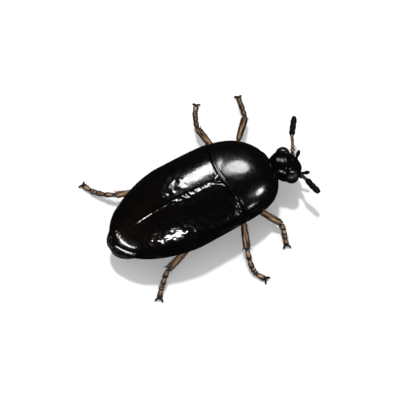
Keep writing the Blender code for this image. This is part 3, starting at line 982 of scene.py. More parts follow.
@dataclass(frozen=True)
class WingCase:
    """One wing case: a domed, pitted shell with a bead along its inner edge and a raised rim outside.

    The right one is the default. Its inner edge is bevelled in front, and beaded behind.
    """

    form: TrunkForm
    side: Side
    finish: bpy.types.Material
    tail_x: float = 0.028
    lip: float = 0.067
    shield_length: float = 0.19
    shield_half: float = 0.123
    bead: float = 0.012
    bead_start: Fade = (1.75, 1.45)
    bead_line: Fold = Fold(1.0, 0.030, 0.060)
    bead_groove: Fold = Fold(-0.6, 0.078, 0.050)
    bevel: float = 0.20
    bevel_width: float = 0.095
    rim: Fold = Fold(0.0018, 0.030, 0.075)
    seam_groove: Fold = Fold(-0.008, 0.015, 0.050)
    shoulder: tuple[float, float] = (2.70, 0.96)
    shoulder_hump: Fold = Fold(0.008, 0.0, 0.40)
    shoulder_lumps: Fade = (0.34, 0.16)
    lumps: tuple[tuple[float, float, float], ...] = ((0.0100, 0.17, 3.1), (0.0046, 0.085, 7.7))
    lumps_start: Fade = (2.25, 1.80)
    lumps_in_front: float = 0.10
    end_rim_start: Fade = (0.62, 0.42)
    end_rim_width: float = 0.042
    end_rim_slope: float = 1.00
    side_bulge: float = 0.008
    pit_spacing: float = 0.068
    pit_radius: float = 0.019
    pit_depth: float = 0.0014
    pit_seed: int = 11
    cuts: tuple[int, int, int] = (230, 120, 3)

    def inner_edge(self, x: float) -> float:
        """Distance of the inner edge from the middle line."""
        along = (x - (self.form.seam - self.shield_length)) / self.shield_length
        start = self.side.value * self.form.suture_y(x) + self.form.gap / 2
        return start + self.shield_half * clamp01(along) ** SHIELD_POWER

    def relief(self, x: float, y: float, point: Vector, pits: Pits) -> float:
        """Height of the fine form over the smooth dome.

        Args:
            x: place along the trunk.
            y: distance from the middle line, positive on both sides.
            point: the place on the dome.
            pits: the pits of this side.

        Returns:
            The height along the surface's normal.
        """
        inside = y - self.inner_edge(x)
        outside = self.form.edge_distance(x, y)
        seam = self.form.seam_x(self.side.value * y / self.form.half_width(x)) - x
        uneven = ripple(point, 0.10, 1.7)
        rear = ramp(x, *self.bead_start)
        height = self.bead_line.at(inside, self.bead * (1.0 + 0.3 * uneven) * rear)
        height += self.bead_groove.at(inside, self.bead * rear)
        width = self.bevel_width * (1.0 + 0.55 * uneven) * (1 - rear)
        height -= self.bevel * max(width - inside, 0.0)
        height += self.rim.at(outside) + self.seam_groove.at(seam)
        shoulder = Vector((x - self.shoulder[0], y - self.shoulder[1], 0)).length
        height += self.shoulder_hump.at(shoulder)
        rough = mix(self.lumps_in_front, 1.0, ramp(x, *self.lumps_start))
        rough = max(rough, ramp(shoulder, *self.shoulder_lumps))
        calm = ramp(inside, 0.04, 0.14) * ramp(outside, 0.06, 0.14) * ramp(x, 0.35, 0.80)
        for lump, size, seed in self.lumps:
            height += lump * rough * calm * ripple(point, size, seed)
        return height - calm * pits.at(point)

    def end_rim(self, x: float, y: float) -> float:
        """How far the rim round the tail stands over the dome, which falls more steeply there."""
        form = self.form
        inward = self.end_rim_width - form.edge_distance(x, y)
        if inward <= 0:
            return 0.0
        slope = form.slope(x)
        shift = inward / math.sqrt(1 + slope * slope)
        moved = form.rise(x + slope * shift, y - math.copysign(shift, y))
        return moved - form.rise(x, y) - self.end_rim_slope * inward

    def shape(self, along: float, across: float, layer: float, pits: Pits) -> Vector:
        """One point of the shell from its place in the lattice."""
        form = self.form
        sign = self.side.value
        spread = math.sin(across * math.pi / 2)
        front = (sign * form.suture_y(form.seam) + form.gap / 2) / form.half_width(form.seam)
        x = mix(self.tail_x, form.seam_x(sign * mix(front, 1.0, spread)) - form.gap, along**1.5)
        y = mix(self.inner_edge(x), form.half_width(x), spread)
        share = y / form.half_width(x)
        top = Vector((x, sign * y, form.back_z(x, share)))
        if layer > 0.5:
            top += form.normal(x, sign * y) * self.relief(x, y, top, pits)
            top.z += self.end_rim(x, sign * y) * ramp(x, *self.end_rim_start)
        if layer < 1.0:
            bulge = self.side_bulge * math.sin(layer * math.pi) * ramp(share, 0.97, 1.0)
            top = form.plate_point(x, sign * share, self.lip, layer, top) + Vector((0, sign * bulge, 0))
        return top + form.anchor

    def build(self) -> bpy.types.Object:
        """Models the wing case and dresses it."""
        form = self.form
        places = form.pit_places(0.1, form.seam + 0.2, self.pit_spacing, self.pit_seed + self.side.value)
        mesh = slab(*self.cuts)
        place_all(mesh, self.shape, Pits(places, self.pit_radius, self.pit_depth))
        name = f"elytron_{self.side.label}"
        return publish(f"shell_{name}", mesh, self.finish, "shell", (name,))


@dataclass(frozen=True)
class Shield:
    """The scutellum: a small three-cornered plate between the fronts of the wing cases."""

    form: TrunkForm
    finish: bpy.types.Material
    length: float = 0.19
    half: float = 0.123
    thickness: float = 0.20
    point_inset: float = 0.02
    crown: float = 0.010
    sunk: float = 0.006
    cuts: tuple[int, int, int] = (28, 28, 2)

    def shape(self, along: float, across: float, layer: float) -> Vector:
        """One point of the plate from its place in the lattice."""
        form = self.form
        x = mix(form.seam - self.length + self.point_inset, form.seam - form.gap, along)
        narrow = clamp01((x - form.seam + self.length) / self.length) ** SHIELD_POWER
        y = form.suture_y(x) + (across * 2 - 1) * (self.half * narrow - form.gap / 2)
        crown = self.crown * arch(across * 2 - 1, 2.0) * ramp(along, 0.0, 0.3)
        top = Vector((x, y, form.rise(x, y) - self.sunk + crown))
        return top - UP * (self.thickness * (1 - layer)) + form.anchor

    def build(self) -> bpy.types.Object:
        """Models the plate and dresses it."""
        mesh = slab(*self.cuts)
        place_all(mesh, self.shape)
        return publish("shell_scutellum", mesh, self.finish, "shell", ("scutellum",))


@dataclass(frozen=True)
class Pronotum:
    """The big plate behind the head, with a fine bead round its edges."""

    form: TrunkForm
    finish: bpy.types.Material
    lip: float = 0.057
    side_folds: tuple[Fold, ...] = (Fold(0.008, 0.026, 0.060), Fold(-0.005, 0.078, 0.060))
    front_folds: tuple[Fold, ...] = (Fold(0.007, 0.020, 0.040), Fold(-0.005, 0.052, 0.040))
    rear_bead: Fold = Fold(0.010, 0.030, 0.055)
    rear_bead_scale: tuple[float, float] = (0.9, 2.4)
    rear_bead_growth: Fade = (0.35, 0.75)
    rear_groove: Fold = Fold(-0.007, 0.078, 0.060)
    hollow: Fold = Fold(-0.005, 0.0, 0.60)
    hollow_place: tuple[float, float] = (0.10, 0.42)
    hollow_squeeze: float = 1.6
    lumps: tuple[float, float, float] = (0.0008, 0.24, 5.3)
    pit_spacing: float = 0.060
    pit_radius: float = 0.012
    pit_depth: float = 0.0006
    pit_seed: int = 29
    cuts: tuple[int, int, int] = (130, 190, 3)

    def relief(self, x: float, y: float, front: float, rear: float, point: Vector, pits: Pits) -> float:
        """Height of the fine form over the smooth dome.

        Args:
            x: place along the trunk.
            y: distance from the middle line, with its sign.
            front: distance from the front edge.
            rear: distance from the hind edge.
            point: the place on the dome.
            pits: the plate's pits.

        Returns:
            The height along the surface's normal.
        """
        outside = self.form.edge_distance(x, y)
        height = sum(fold.at(outside) for fold in self.side_folds)
        height += self.rear_bead.at(rear, mix(*self.rear_bead_scale, ramp(abs(y), *self.rear_bead_growth)))
        height += self.rear_groove.at(rear)
        height += sum(fold.at(front) for fold in self.front_folds)
        hollow_x, hollow_y = self.hollow_place
        hollow = Vector(((rear - hollow_x) * self.hollow_squeeze, abs(y) - hollow_y, 0)).length
        height += self.hollow.at(hollow)
        calm = ramp(outside, 0.05, 0.13) * ramp(rear, 0.06, 0.14) * ramp(front, 0.04, 0.10)
        lump, size, seed = self.lumps
        height += lump * calm * ripple(point, size, seed)
        return height - calm * pits.at(point)

    def shape(self, along: float, across: float, layer: float, pits: Pits) -> Vector:
        """One point of the plate from its place in the lattice."""
        form = self.form
        spread = math.sin((across * 2 - 1) * math.pi / 2)
        seam = form.seam_x(spread)
        x = mix(seam, form.pronotum_front, 1 - (1 - along) ** 1.5)
        y = spread * form.half_width(x)
        top = Vector((x, y, form.back_z(x, spread)))
        if layer > 0.5:
            top += form.normal(x, y) * self.relief(x, y, form.pronotum_front - x, x - seam, top, pits)
        if layer < 1.0:
            top = form.plate_point(x, spread, self.lip, layer, top)
        return top + Vector((0, form.bend_y(x), 0)) + form.anchor

    def build(self) -> bpy.types.Object:
        """Models the plate and dresses it."""
        form = self.form
        places = form.pit_places(form.seam, form.pronotum_front, self.pit_spacing, self.pit_seed)
        mesh = slab(*self.cuts)
        place_all(mesh, self.shape, Pits(places, self.pit_radius, self.pit_depth))
        return publish("shell_pronotum", mesh, self.finish, "shell", ("pronotum",))


@dataclass(frozen=True)
class Underside:
    """The abdomen and the two chest pieces below the shell."""

    form: TrunkForm
    finish: bpy.types.Material
    tip_x: float = -0.076
    tip_blunt: float = 0.012
    tip_taper: float = 0.35
    tip_length: float = 0.40
    tip_thickness: float = 0.05
    thinnest: float = 0.03
    thickness: float = 0.12
    chest_rear: float = 1.90
    chest_reach: float = 4.142
    inset: float = 0.048
    lip: float = 0.067
    lip_start: float = 0.65
    lip_span: float = 0.15
    plates: int = 5
    step: float = 0.022
    tip_rim: float = 0.070
    tip_round: float = 0.045
    edge_bulge: float = 0.012
    uneven: tuple[float, float, float] = (0.0022, 0.10, 2.0)
    chest_furrow: Fold = Fold(-0.020, 0.0, 0.10)
    chest_front: Fold = Fold(-0.018, 0.08, 0.10)
    chest_rise: Fold = Fold(0.020, 0.10, 0.22)
    keel: Fold = Fold(0.025, 0.0, 0.32)
    throat_groove: Fold = Fold(-0.016, 0.95, 0.12)

    def half(self, x: float) -> float:
        """Half width at x: inside the rims, except at the tip, which shows behind them."""
        inner = max(self.form.half_width(max(x, 0.0)) - self.inset, 0.0)
        if x > self.form.widest:
            return inner
        back = x - self.tip_x
        return max(inner, self.form.half_width(back + self.tip_blunt) - self.tip_taper * back)

    def ventral(self, x: float, across: float, point: Vector) -> float:
        """How far the fine form of the underside stands out below the smooth belly."""
        form = self.form
        middle = 1 - abs(across) ** 3
        lump, size, seed = self.uneven
        out = lump * ripple(point, size, seed)
        if x < self.chest_rear:
            spot = (self.chest_rear - x) / (self.chest_rear - self.tip_x) * self.plates
            share = spot - int(spot)
            return out + self.step * middle * (share - 0.5) * ramp(x, self.tip_x + 0.02, 0.4)
        if x < form.seam:
            out += self.chest_furrow.at(across) + self.chest_front.at(form.seam - x)
            return out + self.chest_rise.at(x - self.chest_rear, middle)
        out += self.keel.at(across, ramp(x, self.chest_reach, form.seam + 0.2))
        return out + self.throat_groove.at(x - form.seam, middle)

    def shape(self, along: float, across: float, layer: float, rear: float, front: float) -> Vector:
        """One point of a piece between two x values, from its place in the lattice."""
        form = self.form
        spread = math.sin((across * 2 - 1) * math.pi / 2)
        x = mix(rear, front, (1 - math.cos(math.pi * along)) / 2)
        inside = max(x, form.gap)
        wide = self.half(x)
        share = clamp01(abs(spread) * wide / form.half_width(inside))
        top = form.core_z(inside, share) - form.gap
        top -= (self.lip + form.gap) * clamp01((share - self.lip_start) / self.lip_span)
        thickness = self.thinnest + self.thickness * (1 - spread * spread)
        thickness += self.tip_thickness * clamp01(1 - x / self.tip_length)
        low = min(form.belly_z(inside, share), top - thickness)
        low -= self.ventral(x, spread, Vector((x, spread * wide, low)))
        rim = min((1 - abs(spread)) * wide, x - self.tip_x)
        top -= self.tip_round * (1 - clamp01(rim / self.tip_rim)) ** 2 * ramp(x, 0.45, 0.20)
        edge = math.sin(layer * math.pi) * self.edge_bulge
        wide += edge * ramp(abs(spread), 0.8, 1.0)
        x -= edge * ramp(x, 0.1, self.tip_x)
        y = spread * wide + form.bend_y(x)
        return Vector((x, y, mix(low, top, layer))) + form.anchor

    def piece(self, name: str, rear: float, front: float, cuts: tuple[int, int, int]) -> bpy.types.Object:
        """Models one piece of the underside and dresses it."""
        mesh = slab(*cuts)
        place_all(mesh, self.shape, rear, front)
        return publish(f"plate_{name}", mesh, self.finish, "belly", (name,), crease=38.0)

    def build(self) -> list[bpy.types.Object]:
        """Models the three pieces."""
        gap = self.form.gap
        return [
            self.piece("abdomen", self.tip_x, self.chest_rear - gap / 2, (150, 70, 3)),
            self.piece("hind_chest", self.chest_rear + gap / 2, self.form.seam - gap, (60, 70, 3)),
            self.piece("front_chest", self.form.seam + gap, self.chest_reach, (80, 70, 3)),
        ]


# ---------------------------------------------------------------- head


@dataclass(frozen=True)
class HeadForm:
    """The capsule's own axes, turned to the right and nodding, and its smooth form."""

    trunk: TrunkForm
    centre: Place = (4.56, -0.34, 0.72)
    yaw: float = math.radians(-14.0)
    pitch: float = math.radians(30.0)
    length: float = 0.912
    half_width: float = 0.399
    half_height: float = 0.294
    taper: float = 0.16

    def way(self, forward: float, left: float, up: float) -> Vector:
        """A direction given in the head's axes, in the frame's axes."""
        ahead = Vector((math.cos(self.pitch), 0, -math.sin(self.pitch)))
        above = Vector((math.sin(self.pitch), 0, math.cos(self.pitch)))
        flat = ahead * forward + above * up + Vector((0, left, 0))
        cosine, sine = math.cos(self.yaw), math.sin(self.yaw)
        return Vector((flat.x * cosine - flat.y * sine, flat.x * sine + flat.y * cosine, flat.z))

    def place(self, forward: float, left: float, up: float) -> Vector:
        """A place given in the head's axes, in the frame."""
        return self.trunk.anchor + Vector(self.centre) + self.way(forward, left, up)

    def surface(self, forward: float, left: float, up: float) -> Vector:
        """The capsule's surface in a direction of the head's axes, in the head's axes."""
        taper = 1.0 - self.taper * max(forward, 0.0) ** 2
        wide, high = self.half_width * taper, self.half_height * taper
        return Vector((forward * (self.length / 2), left * wide, up * high))

    def outward(self, away: Vector) -> Vector:
        """The outward direction of the capsule, untapered, where the head's axes point away."""
        slopes = (away.x / self.length * 2, away.y / self.half_width, away.z / self.half_height)
        return Vector(slopes).normalized()


@dataclass(frozen=True)
class Head:
    """The capsule with its grooves and sockets, the eyes, the single ocellus and the mouth."""

    form: HeadForm
    shell: bpy.types.Material
    mouth: bpy.types.Material
    eye: bpy.types.Material
    eye_radius: float = 0.18
    eye_place: Place = (0.02, 0.318, 0.06)
    eye_groove: Fold = Fold(-0.016, eye_radius * 1.04, 0.070)
    eye_brim: Fold = Fold(0.006, eye_radius * 1.30, 0.090)
    lens_radius: float = 0.080
    lens_height: float = 0.0010
    polished: Fade = (0.92, 0.965)
    socket_place: Place = (0.323, 0.266, -0.019)
    socket_hollow: Fold = Fold(-0.022, 0.0, 0.20)
    socket_brim: Fold = Fold(0.008, 0.085, 0.06)
    brow: Fold = Fold(-0.004, 0.300, 0.050)
    nape: Fold = Fold(-0.004, -0.185, 0.060)
    forehead: Fold = Fold(-0.005, 0.0, 0.26)
    front_rim: Fold = Fold(0.010, 0.425, 0.050)
    ocellus_place: Place = (0.05, 0.0, 0.277)
    ocellus_radius: float = 0.026
    ocellus_flat: float = 0.7
    pit_count: int = 900
    pit_radius: float = 0.012
    pit_depth: float = 0.0016
    lip_place: Place = (0.415, 0.0, -0.057)
    lip_length: float = 0.100
    lip_half_width: float = 0.135
    lip_half_height: float = 0.034
    jaw_place: Place = (0.375, 0.125, -0.108)
    jaw_length: float = 0.130
    jaw_inward: float = 0.105

    def sided(self, place: Place, side: Side) -> Place:
        """A place in the head's axes, on one side."""
        forward, left, up = place
        return (forward, side.value * left, up)

    def carved(self, base: Vector, pits: Pits) -> float:
        """Height of the fine form over the smooth capsule, at a place in the head's axes."""
        height = 0.0010 * ripple(base, 0.10, 4.0) - pits.at(base)
        for side in Side:
            to_eye = (base - Vector(self.sided(self.eye_place, side))).length
            height += self.eye_groove.at(to_eye) + self.eye_brim.at(to_eye)
            to_socket = (base - Vector(self.sided(self.socket_place, side))).length
            height += self.socket_hollow.at(to_socket) + self.socket_brim.at(to_socket)
        if base.z > -0.10:
            height += self.brow.at(base.x - 0.4 * abs(base.y)) + self.nape.at(base.x)
            height += self.forehead.at(Vector((base.x - 0.05, base.y, 0)).length)
        return height + self.front_rim.at(base.x)

    def build_capsule(self) -> bpy.types.Object:
        """Models the capsule and dresses it."""
        draw = random.Random(5)
        places = []
        for _ in range(self.pit_count):
            away = Vector((draw.gauss(0, 1), draw.gauss(0, 1), draw.gauss(0, 1))).normalized()
            places.append(self.form.surface(*away))
        pits = Pits(places, self.pit_radius, self.pit_depth)
        mesh = bmesh.new()
        bmesh.ops.create_uvsphere(mesh, u_segments=144, v_segments=110, radius=1.0)
        for vert in mesh.verts:
            away = Vector((vert.co.z, vert.co.x, vert.co.y))
            base = self.form.surface(*away)
            vert.co = self.form.place(*(base + self.form.outward(away) * self.carved(base, pits)))
        return publish("shell_head", mesh, self.shell, "shell", ("head",))

    def build_eye(self, side: Side) -> bpy.types.Object:
        """Models one compound eye, with a low lens on each facet, and dresses it."""
        lenses = bmesh.new()
        bmesh.ops.create_icosphere(lenses, subdivisions=4, radius=1.0)
        tree = KDTree(len(lenses.verts))
        for number, vert in enumerate(lenses.verts):
            tree.insert(vert.co, number)
        tree.balance()
        lenses.free()
        mesh = bmesh.new()
        bmesh.ops.create_icosphere(mesh, subdivisions=6, radius=1.0)
        polish = mesh.verts.layers.float.new("polish")
        forward, left, up = self.sided(self.eye_place, side)
        centre = self.form.place(forward, left, up)
        for vert in mesh.verts:
            lens = 1 - (tree.find(vert.co)[2] / self.lens_radius) ** 2
            ball = vert.co * (self.eye_radius - self.lens_height * (1 - clamp01(lens)))
            vert.co = self.form.place(forward + ball.z, left + ball.x, up + ball.y)
            vert[polish] = ramp((vert.co - centre).z / self.eye_radius, *self.polished)
        name = f"eye_{side.label}"
        return publish(f"facets_{name}", mesh, self.eye, "eye", (name,), crease=80.0)

    def build_ocellus(self) -> bpy.types.Object:
        """Models the small single eye in the middle of the forehead and dresses it."""
        mesh = bmesh.new()
        bmesh.ops.create_uvsphere(mesh, u_segments=24, v_segments=16, radius=self.ocellus_radius)
        forward, left, up = self.ocellus_place
        for vert in mesh.verts:
            x, y, z = vert.co
            vert.co = self.form.place(forward + x, left + y, up + z * self.ocellus_flat)
        return publish("bead_ocellus", mesh, self.eye, "eye", ())

    def lip_point(self, along: float, across: float, layer: float) -> Vector:
        """One point of the upper lip from its place in the lattice."""
        spread = across * 2 - 1
        forward = self.lip_place[0] + along * self.lip_length * (1 - 0.35 * spread * spread)
        up = self.lip_place[2] + (layer * 2 - 1) * self.lip_half_height * arch(along, 6.0)
        crown = 0.006 * (1 - spread * spread)
        return self.form.place(forward, spread * self.lip_half_width * (1 - 0.15 * along), up + crown)

    def jaw(self, side: Side) -> list[Station]:
        """Rings of one mandible, which curves inwards to its tip."""
        start, out, level = self.jaw_place
        rings = 15
        stations = []
        for k in range(rings):
            share = k / (rings - 1)
            left = side.value * (out - self.jaw_inward * share**2)
            middle = self.form.place(start + self.jaw_length * share, left, level - 0.010 * share)
            full = (1 - share) ** 0.6
            stations.append(Station(middle, 0.044 * full + 0.008, 0.026 * full + 0.006))
        return stations

    def build_mouth(self) -> bpy.types.Object:
        """Models the upper lip over the two closed mandibles and dresses them."""
        mesh = slab(16, 24, 4)
        place_all(mesh, self.lip_point)
        for side in Side:
            merge(mesh, limb(self.jaw(side), 12))
        return publish("lip_mouthparts", mesh, self.mouth, "belly", ("mouthparts",))

    def build(self) -> list[bpy.types.Object]:
        """Models the whole head without its feelers."""
        eyes = [self.build_eye(side) for side in Side]
        return [self.build_capsule(), *eyes, self.build_ocellus(), self.build_mouth()]


@dataclass(frozen=True)
class BeadRow:
    """A row of round beads, each with its share of the length and its radius, the last one rounded off."""

    lengths: tuple[float, ...]
    radii: tuple[float, ...]
    swell: tuple[float, ...]
    tip: float
    sides: int
    steps: int = 14
    fine: int = 200
    cover: float = 0.985

    def stations(self, path: list[Vector]) -> list[Station]:
        """Its rings along a path, with the joints between beads marked dark."""
        made = []
        for number, share, place in walk(path, self.lengths, self.steps, self.fine, self.cover):
            full = profile(self.swell, share)
            if number == len(self.lengths) - 1:
                full *= mix(1.0, self.tip, ramp(share, 0.45, 1.0))
            dark = clamp01(1.5 * max(ridge(share, 0.0, 0.44), ridge(share, 1.0, 0.40)))
            radius = self.radii[number] * full
            made.append(Station(place, radius, radius, dark))
        return made


@dataclass(frozen=True)
class Feeler:
    """One feeler: a stalk of short beads and a club of three, with a palp below it."""

    form: HeadForm
    side: Side
    stalk_finish: bpy.types.Material
    club_finish: bpy.types.Material
    stalk: BeadRow = BeadRow(
        lengths=(0.26, 0.18, 0.12, 0.11, 0.11, 0.11, 0.11),
        radii=(0.064, 0.056, 0.046, 0.043, 0.043, 0.045, 0.048),
        swell=(0.55, 0.80, 1.0, 1.0, 0.70),
        tip=0.9,
        sides=20,
    )
    club: BeadRow = BeadRow(
        lengths=(0.30, 0.28, 0.42),
        radii=(0.074, 0.078, 0.076),
        swell=(0.80, 1.0, 1.0, 1.0, 0.90),
        tip=0.72,
        sides=24,
    )
    palp: BeadRow = BeadRow(
        lengths=(0.30, 0.28, 0.42),
        radii=(0.038, 0.040, 0.050),
        swell=(0.70, 0.90, 1.0, 1.0, 0.80),
        tip=0.7,
        sides=18,
    )

    def build(self) -> list[bpy.types.Object]:
        """Models the stalk, the club and the palp of one side."""
        label = self.side.label
        root = self.form.place(0.3, self.side.value * 0.25, 0)
        stalk = read_path(f"antenna_stalk_{label}", root, 3)
        club = read_path(f"antenna_club_{label}", stalk[-1], 4)
        club[0] = stalk[-1]
        palp = read_path(f"palp_{label}", self.form.place(0.35, self.side.value * 0.1, -0.12), 3)
        made = []
        for name, node, path, row, finish, slot in (
            ("beads_antenna", "antenna_stalk", stalk, self.stalk, self.stalk_finish, "leg"),
            ("club_antenna", "antenna_club", club, self.club, self.club_finish, "club"),
            ("beads_palp", "palp", palp, self.palp, self.club_finish, "belly"),
        ):
            mesh = limb(row.stations(path), row.sides)
            made.append(publish(f"{name}_{label}", mesh, finish, slot, (f"{node}_{label}",), crease=75.0))
        return made


# ---------------------------------------------------------------- legs


@dataclass(frozen=True)
class Segment:
    """The form of a leg's hip piece, thigh or shin."""

    radius: float
    swell: tuple[float, ...]
    flat: float
    steps: int
    dark_start: float
    dark_end: float

    def stations(self, path: list[Vector]) -> list[Station]:
        """Its rings along a path, dark towards both ends."""
        made = []
        for k, point in enumerate(spline(path, self.steps)):
            share = k / (self.steps - 1)
            full = self.radius * profile(self.swell, share)
            dark = max(ramp(share, self.dark_start, 0.0), ramp(share, 1.0 - self.dark_end, 1.0))
            made.append(Station(point, full, full * self.flat, dark))
        return made


def hip_carve(turn: float, along: float) -> float:
    """A shallow ring before the hip piece's end."""
    return 1 - 0.05 * ridge(along, 0.80, 0.12)


def thigh_carve(turn: float, along: float) -> float:
    """A groove along the thigh's underside and a ring round its start."""
    return 1 - 0.14 * ridge(abs(turn), math.pi, 0.9) - 0.10 * ridge(along, 0.17, 0.06)


def shin_carve(turn: float, along: float) -> float:
    """Four low keels along the shin, and a notch at each end."""
    keel = 0.055 * math.cos(4 * turn) * ramp(along, 0.05, 0.2)
    return 1 + keel - 0.07 * ridge(along, 0.93, 0.05) - 0.07 * ridge(along, 0.06, 0.05)


def foot_carve(turn: float, along: float) -> float:
    """A flat sole along the foot."""
    return 1 - 0.10 * ridge(abs(turn), math.pi, 1.2)


@dataclass(frozen=True)
class Leg:
    """One leg: hip piece, thigh, shin, five-jointed foot, two claws and its bristles."""

    pair: Pair
    side: Side
    finish: bpy.types.Material
    hip_finish: bpy.types.Material
    claw_finish: bpy.types.Material
    trunk: TrunkForm
    hip: Segment = Segment(0.19, (0.35, 0.72, 0.90, 0.97, 0.92, 0.74, 0.40), 0.62, 30, 0.2, 0.2)
    thigh: Segment = Segment(
        0.128, (0.42, 0.62, 0.60, 0.84, 0.97, 1.0, 0.99, 0.93, 0.83, 0.70, 0.42), 0.80, 56, 0.34, 0.10
    )
    shin: Segment = Segment(
        0.084, (0.40, 0.74, 0.80, 0.86, 0.90, 0.95, 0.98, 1.0, 1.0, 1.02, 0.70), 0.86, 56, 0.13, 0.11
    )
    foot_radius: float = 0.067
    foot_lengths: tuple[float, ...] = (0.29, 0.25, 0.10, 0.08, 0.28)
    foot_swell: tuple[float, ...] = (0.72, 0.78, 0.88, 0.97, 1.03, 1.0)
    foot_waist: float = 0.78
    foot_flat: float = 0.9
    claw_base: float = 0.044
    claw_level: float = 0.052
    claw_radius: float = 0.036
    claw_length: float = 0.145
    claw_spread: float = math.radians(60.0)
    reach: float = 0.018

    @property
    def label(self) -> str:
        """The leg's name in node names."""
        return f"{self.pair.value}_{self.side.label}"

    def joined(self, path: list[Vector]) -> list[Vector]:
        """The path, drawn out at both ends to meet the next lengths at the joints."""
        start = (path[0] - path[1]).normalized() * self.reach
        end = (path[-1] - path[-2]).normalized() * self.reach
        return [path[0] + start, *path[1:-1], path[-1] + end]

    def build_segment(
        self,
        kind: str,
        node: str,
        form: Segment,
        path: list[Vector],
        carve: Carve,
        finish: bpy.types.Material,
    ) -> bpy.types.Object:
        """Models the hip piece, the thigh or the shin and dresses it.

        Args:
            kind: what the piece's name starts with.
            node: what its CAD node's name starts with.
            form: its form.
            path: points along its middle.
            carve: its carving.
            finish: its material.

        Returns:
            The piece.
        """
        name = f"{node}_{self.label}"
        mesh = limb(form.stations(self.joined(path)), 28, carve)
        return publish(f"{kind}_{name}", mesh, finish, "leg", (name,), crease=70.0)

    def build_foot(self, path: list[Vector]) -> bpy.types.Object:
        """Models the five joints of the foot, each flaring to its end, and dresses it."""
        stations = []
        for _, share, place in walk(self.joined(path), self.foot_lengths, 10, 400, 0.99):
            waist = self.foot_waist if share == 1 else 1.0
            full = self.foot_radius * profile(self.foot_swell, share) * waist
            dark = clamp01(2.2 * max(ridge(share, 0.0, 0.60), ridge(share, 1.0, 0.60)))
            stations.append(Station(place, full, full * self.foot_flat, dark))
        mesh = limb(stations, 22, foot_carve)
        on_floor(mesh)
        name = f"tarsus_{self.label}"
        return publish(f"foot_{name}", mesh, self.finish, "leg", (name,), crease=75.0)

    def build_claws(self, path: list[Vector]) -> bpy.types.Object:
        """Models the two hooked claws on their small base and dresses them."""
        tip = path[-1]
        way = tip - path[-2]
        way.z = 0
        way.normalize()
        aside = UP.cross(way)
        base = Vector((tip.x, tip.y, self.claw_level))
        mesh = bmesh.new()
        bmesh.ops.create_uvsphere(mesh, u_segments=16, v_segments=12, radius=self.claw_base)
        bmesh.ops.translate(mesh, verts=mesh.verts, vec=base + way * 0.012)
        rings = 16
        for turn in (-1, 1):
            out = way * math.cos(self.claw_spread) + aside * math.sin(self.claw_spread) * turn
            stations = []
            for k in range(rings):
                share = k / (rings - 1)
                hook = aside * (-turn) * self.claw_length * 0.26 * share**2
                arc = Vector((0, 0, 0.022 * math.sin(share * math.pi) - 0.046 * share**1.6))
                thick = self.claw_radius * (1 - 0.55 * share)
                middle = base + way * 0.030 + out * self.claw_length * 1.03 * share + hook + arc
                stations.append(Station(middle, thick, thick * 1.15))
            merge(mesh, limb(stations, 12))
        on_floor(mesh)
        name = f"claws_{self.label}"
        return publish(f"hooks_{name}", mesh, self.claw_finish, "claw", (name,), crease=75.0)

    def build_bristles(self, thigh: list[Vector], shin: list[Vector], foot: list[Vector]) -> bpy.types.Object:
        """Models the spurs and short bristles that stand out from the leg, joined in one piece."""
        draw = random.Random(hash_of(self.label))
        mesh = bmesh.new()

        def row(
            path: list[Vector], radius: float, spread: Fade, count: int, reach: float, thick: float
        ) -> None:
            """Bristles scattered round a length, leaning to its end.

            Args:
                path: points along its middle.
                radius: how far from the middle they are rooted, nearly.
                spread: where the first and the last may stand, as shares of the path.
                count: how many.
                reach: their usual length.
                thick: their radius at the root.
            """
            fine = 60
            points = spline(path, fine + 1)
            for k in range(count):
                share = mix(*spread, (k + draw.uniform(0.1, 0.9)) / count)
                spot = min(int(share * fine), fine - 1)
                ahead = (points[spot + 1] - points[spot]).normalized()
                side, above = sides_of(ahead)
                turn = draw.choice((-1, 1)) * draw.uniform(0.9, 2.3)
                out = side * math.sin(turn) + above * math.cos(turn)
                root = points[spot] + out * radius * 0.75
                tip = root + (out * 0.75 + ahead * 0.85).normalized() * reach * draw.uniform(0.7, 1.15)
                merge(mesh, spike(root, tip, thick))

        row(thigh, self.thigh.radius * 0.85, (0.45, 0.95), 8, 0.060, 0.0055)
        row(shin, self.shin.radius * 0.95, (0.15, 0.95), 22, 0.075, 0.0075)
        row(shin, self.shin.radius * 0.90, (0.94, 0.99), 5, 0.115, 0.0100)
        reached = 0.0
        for length in self.foot_lengths:
            near_end = (reached + length * 0.80, reached + length * 0.95)
            row(foot, self.foot_radius * 0.95, near_end, 4, 0.060, 0.0060)
            reached += length
        on_floor(mesh)
        return publish(f"bristles_{self.label}", mesh, self.claw_finish, "claw", ())

    def build(self) -> list[bpy.types.Object]:
        """Models the whole leg."""
        label = self.label
        middle = self.trunk.anchor + Vector((0, 0, 0.2))
        low, high = (Vector(corner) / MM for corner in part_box(f"coxa_{label}"))
        middle.x = (low.x + high.x) / 2
        hip = read_path(f"coxa_{label}", middle, 3)
        thigh = read_path(f"femur_{label}", hip[-1], 4)
        shin = read_path(f"tibia_{label}", thigh[-1], 4)
        foot = read_path(f"tarsus_{label}", shin[-1], 5)
        return [
            self.build_segment("hip", "coxa", self.hip, hip, hip_carve, self.hip_finish),
            self.build_segment("thigh", "femur", self.thigh, thigh, thigh_carve, self.finish),
            self.build_segment("shin", "tibia", self.shin, shin, shin_carve, self.finish),
            self.build_foot(foot),
            self.build_claws(foot),
            self.build_bristles(thigh, shin, foot),
        ]


def hash_of(label: str) -> int:
    """A number that stays the same for a name, to seed its random draws."""
    return sum((k + 1) * ord(letter) for k, letter in enumerate(label))


# ---------------------------------------------------------------- studio


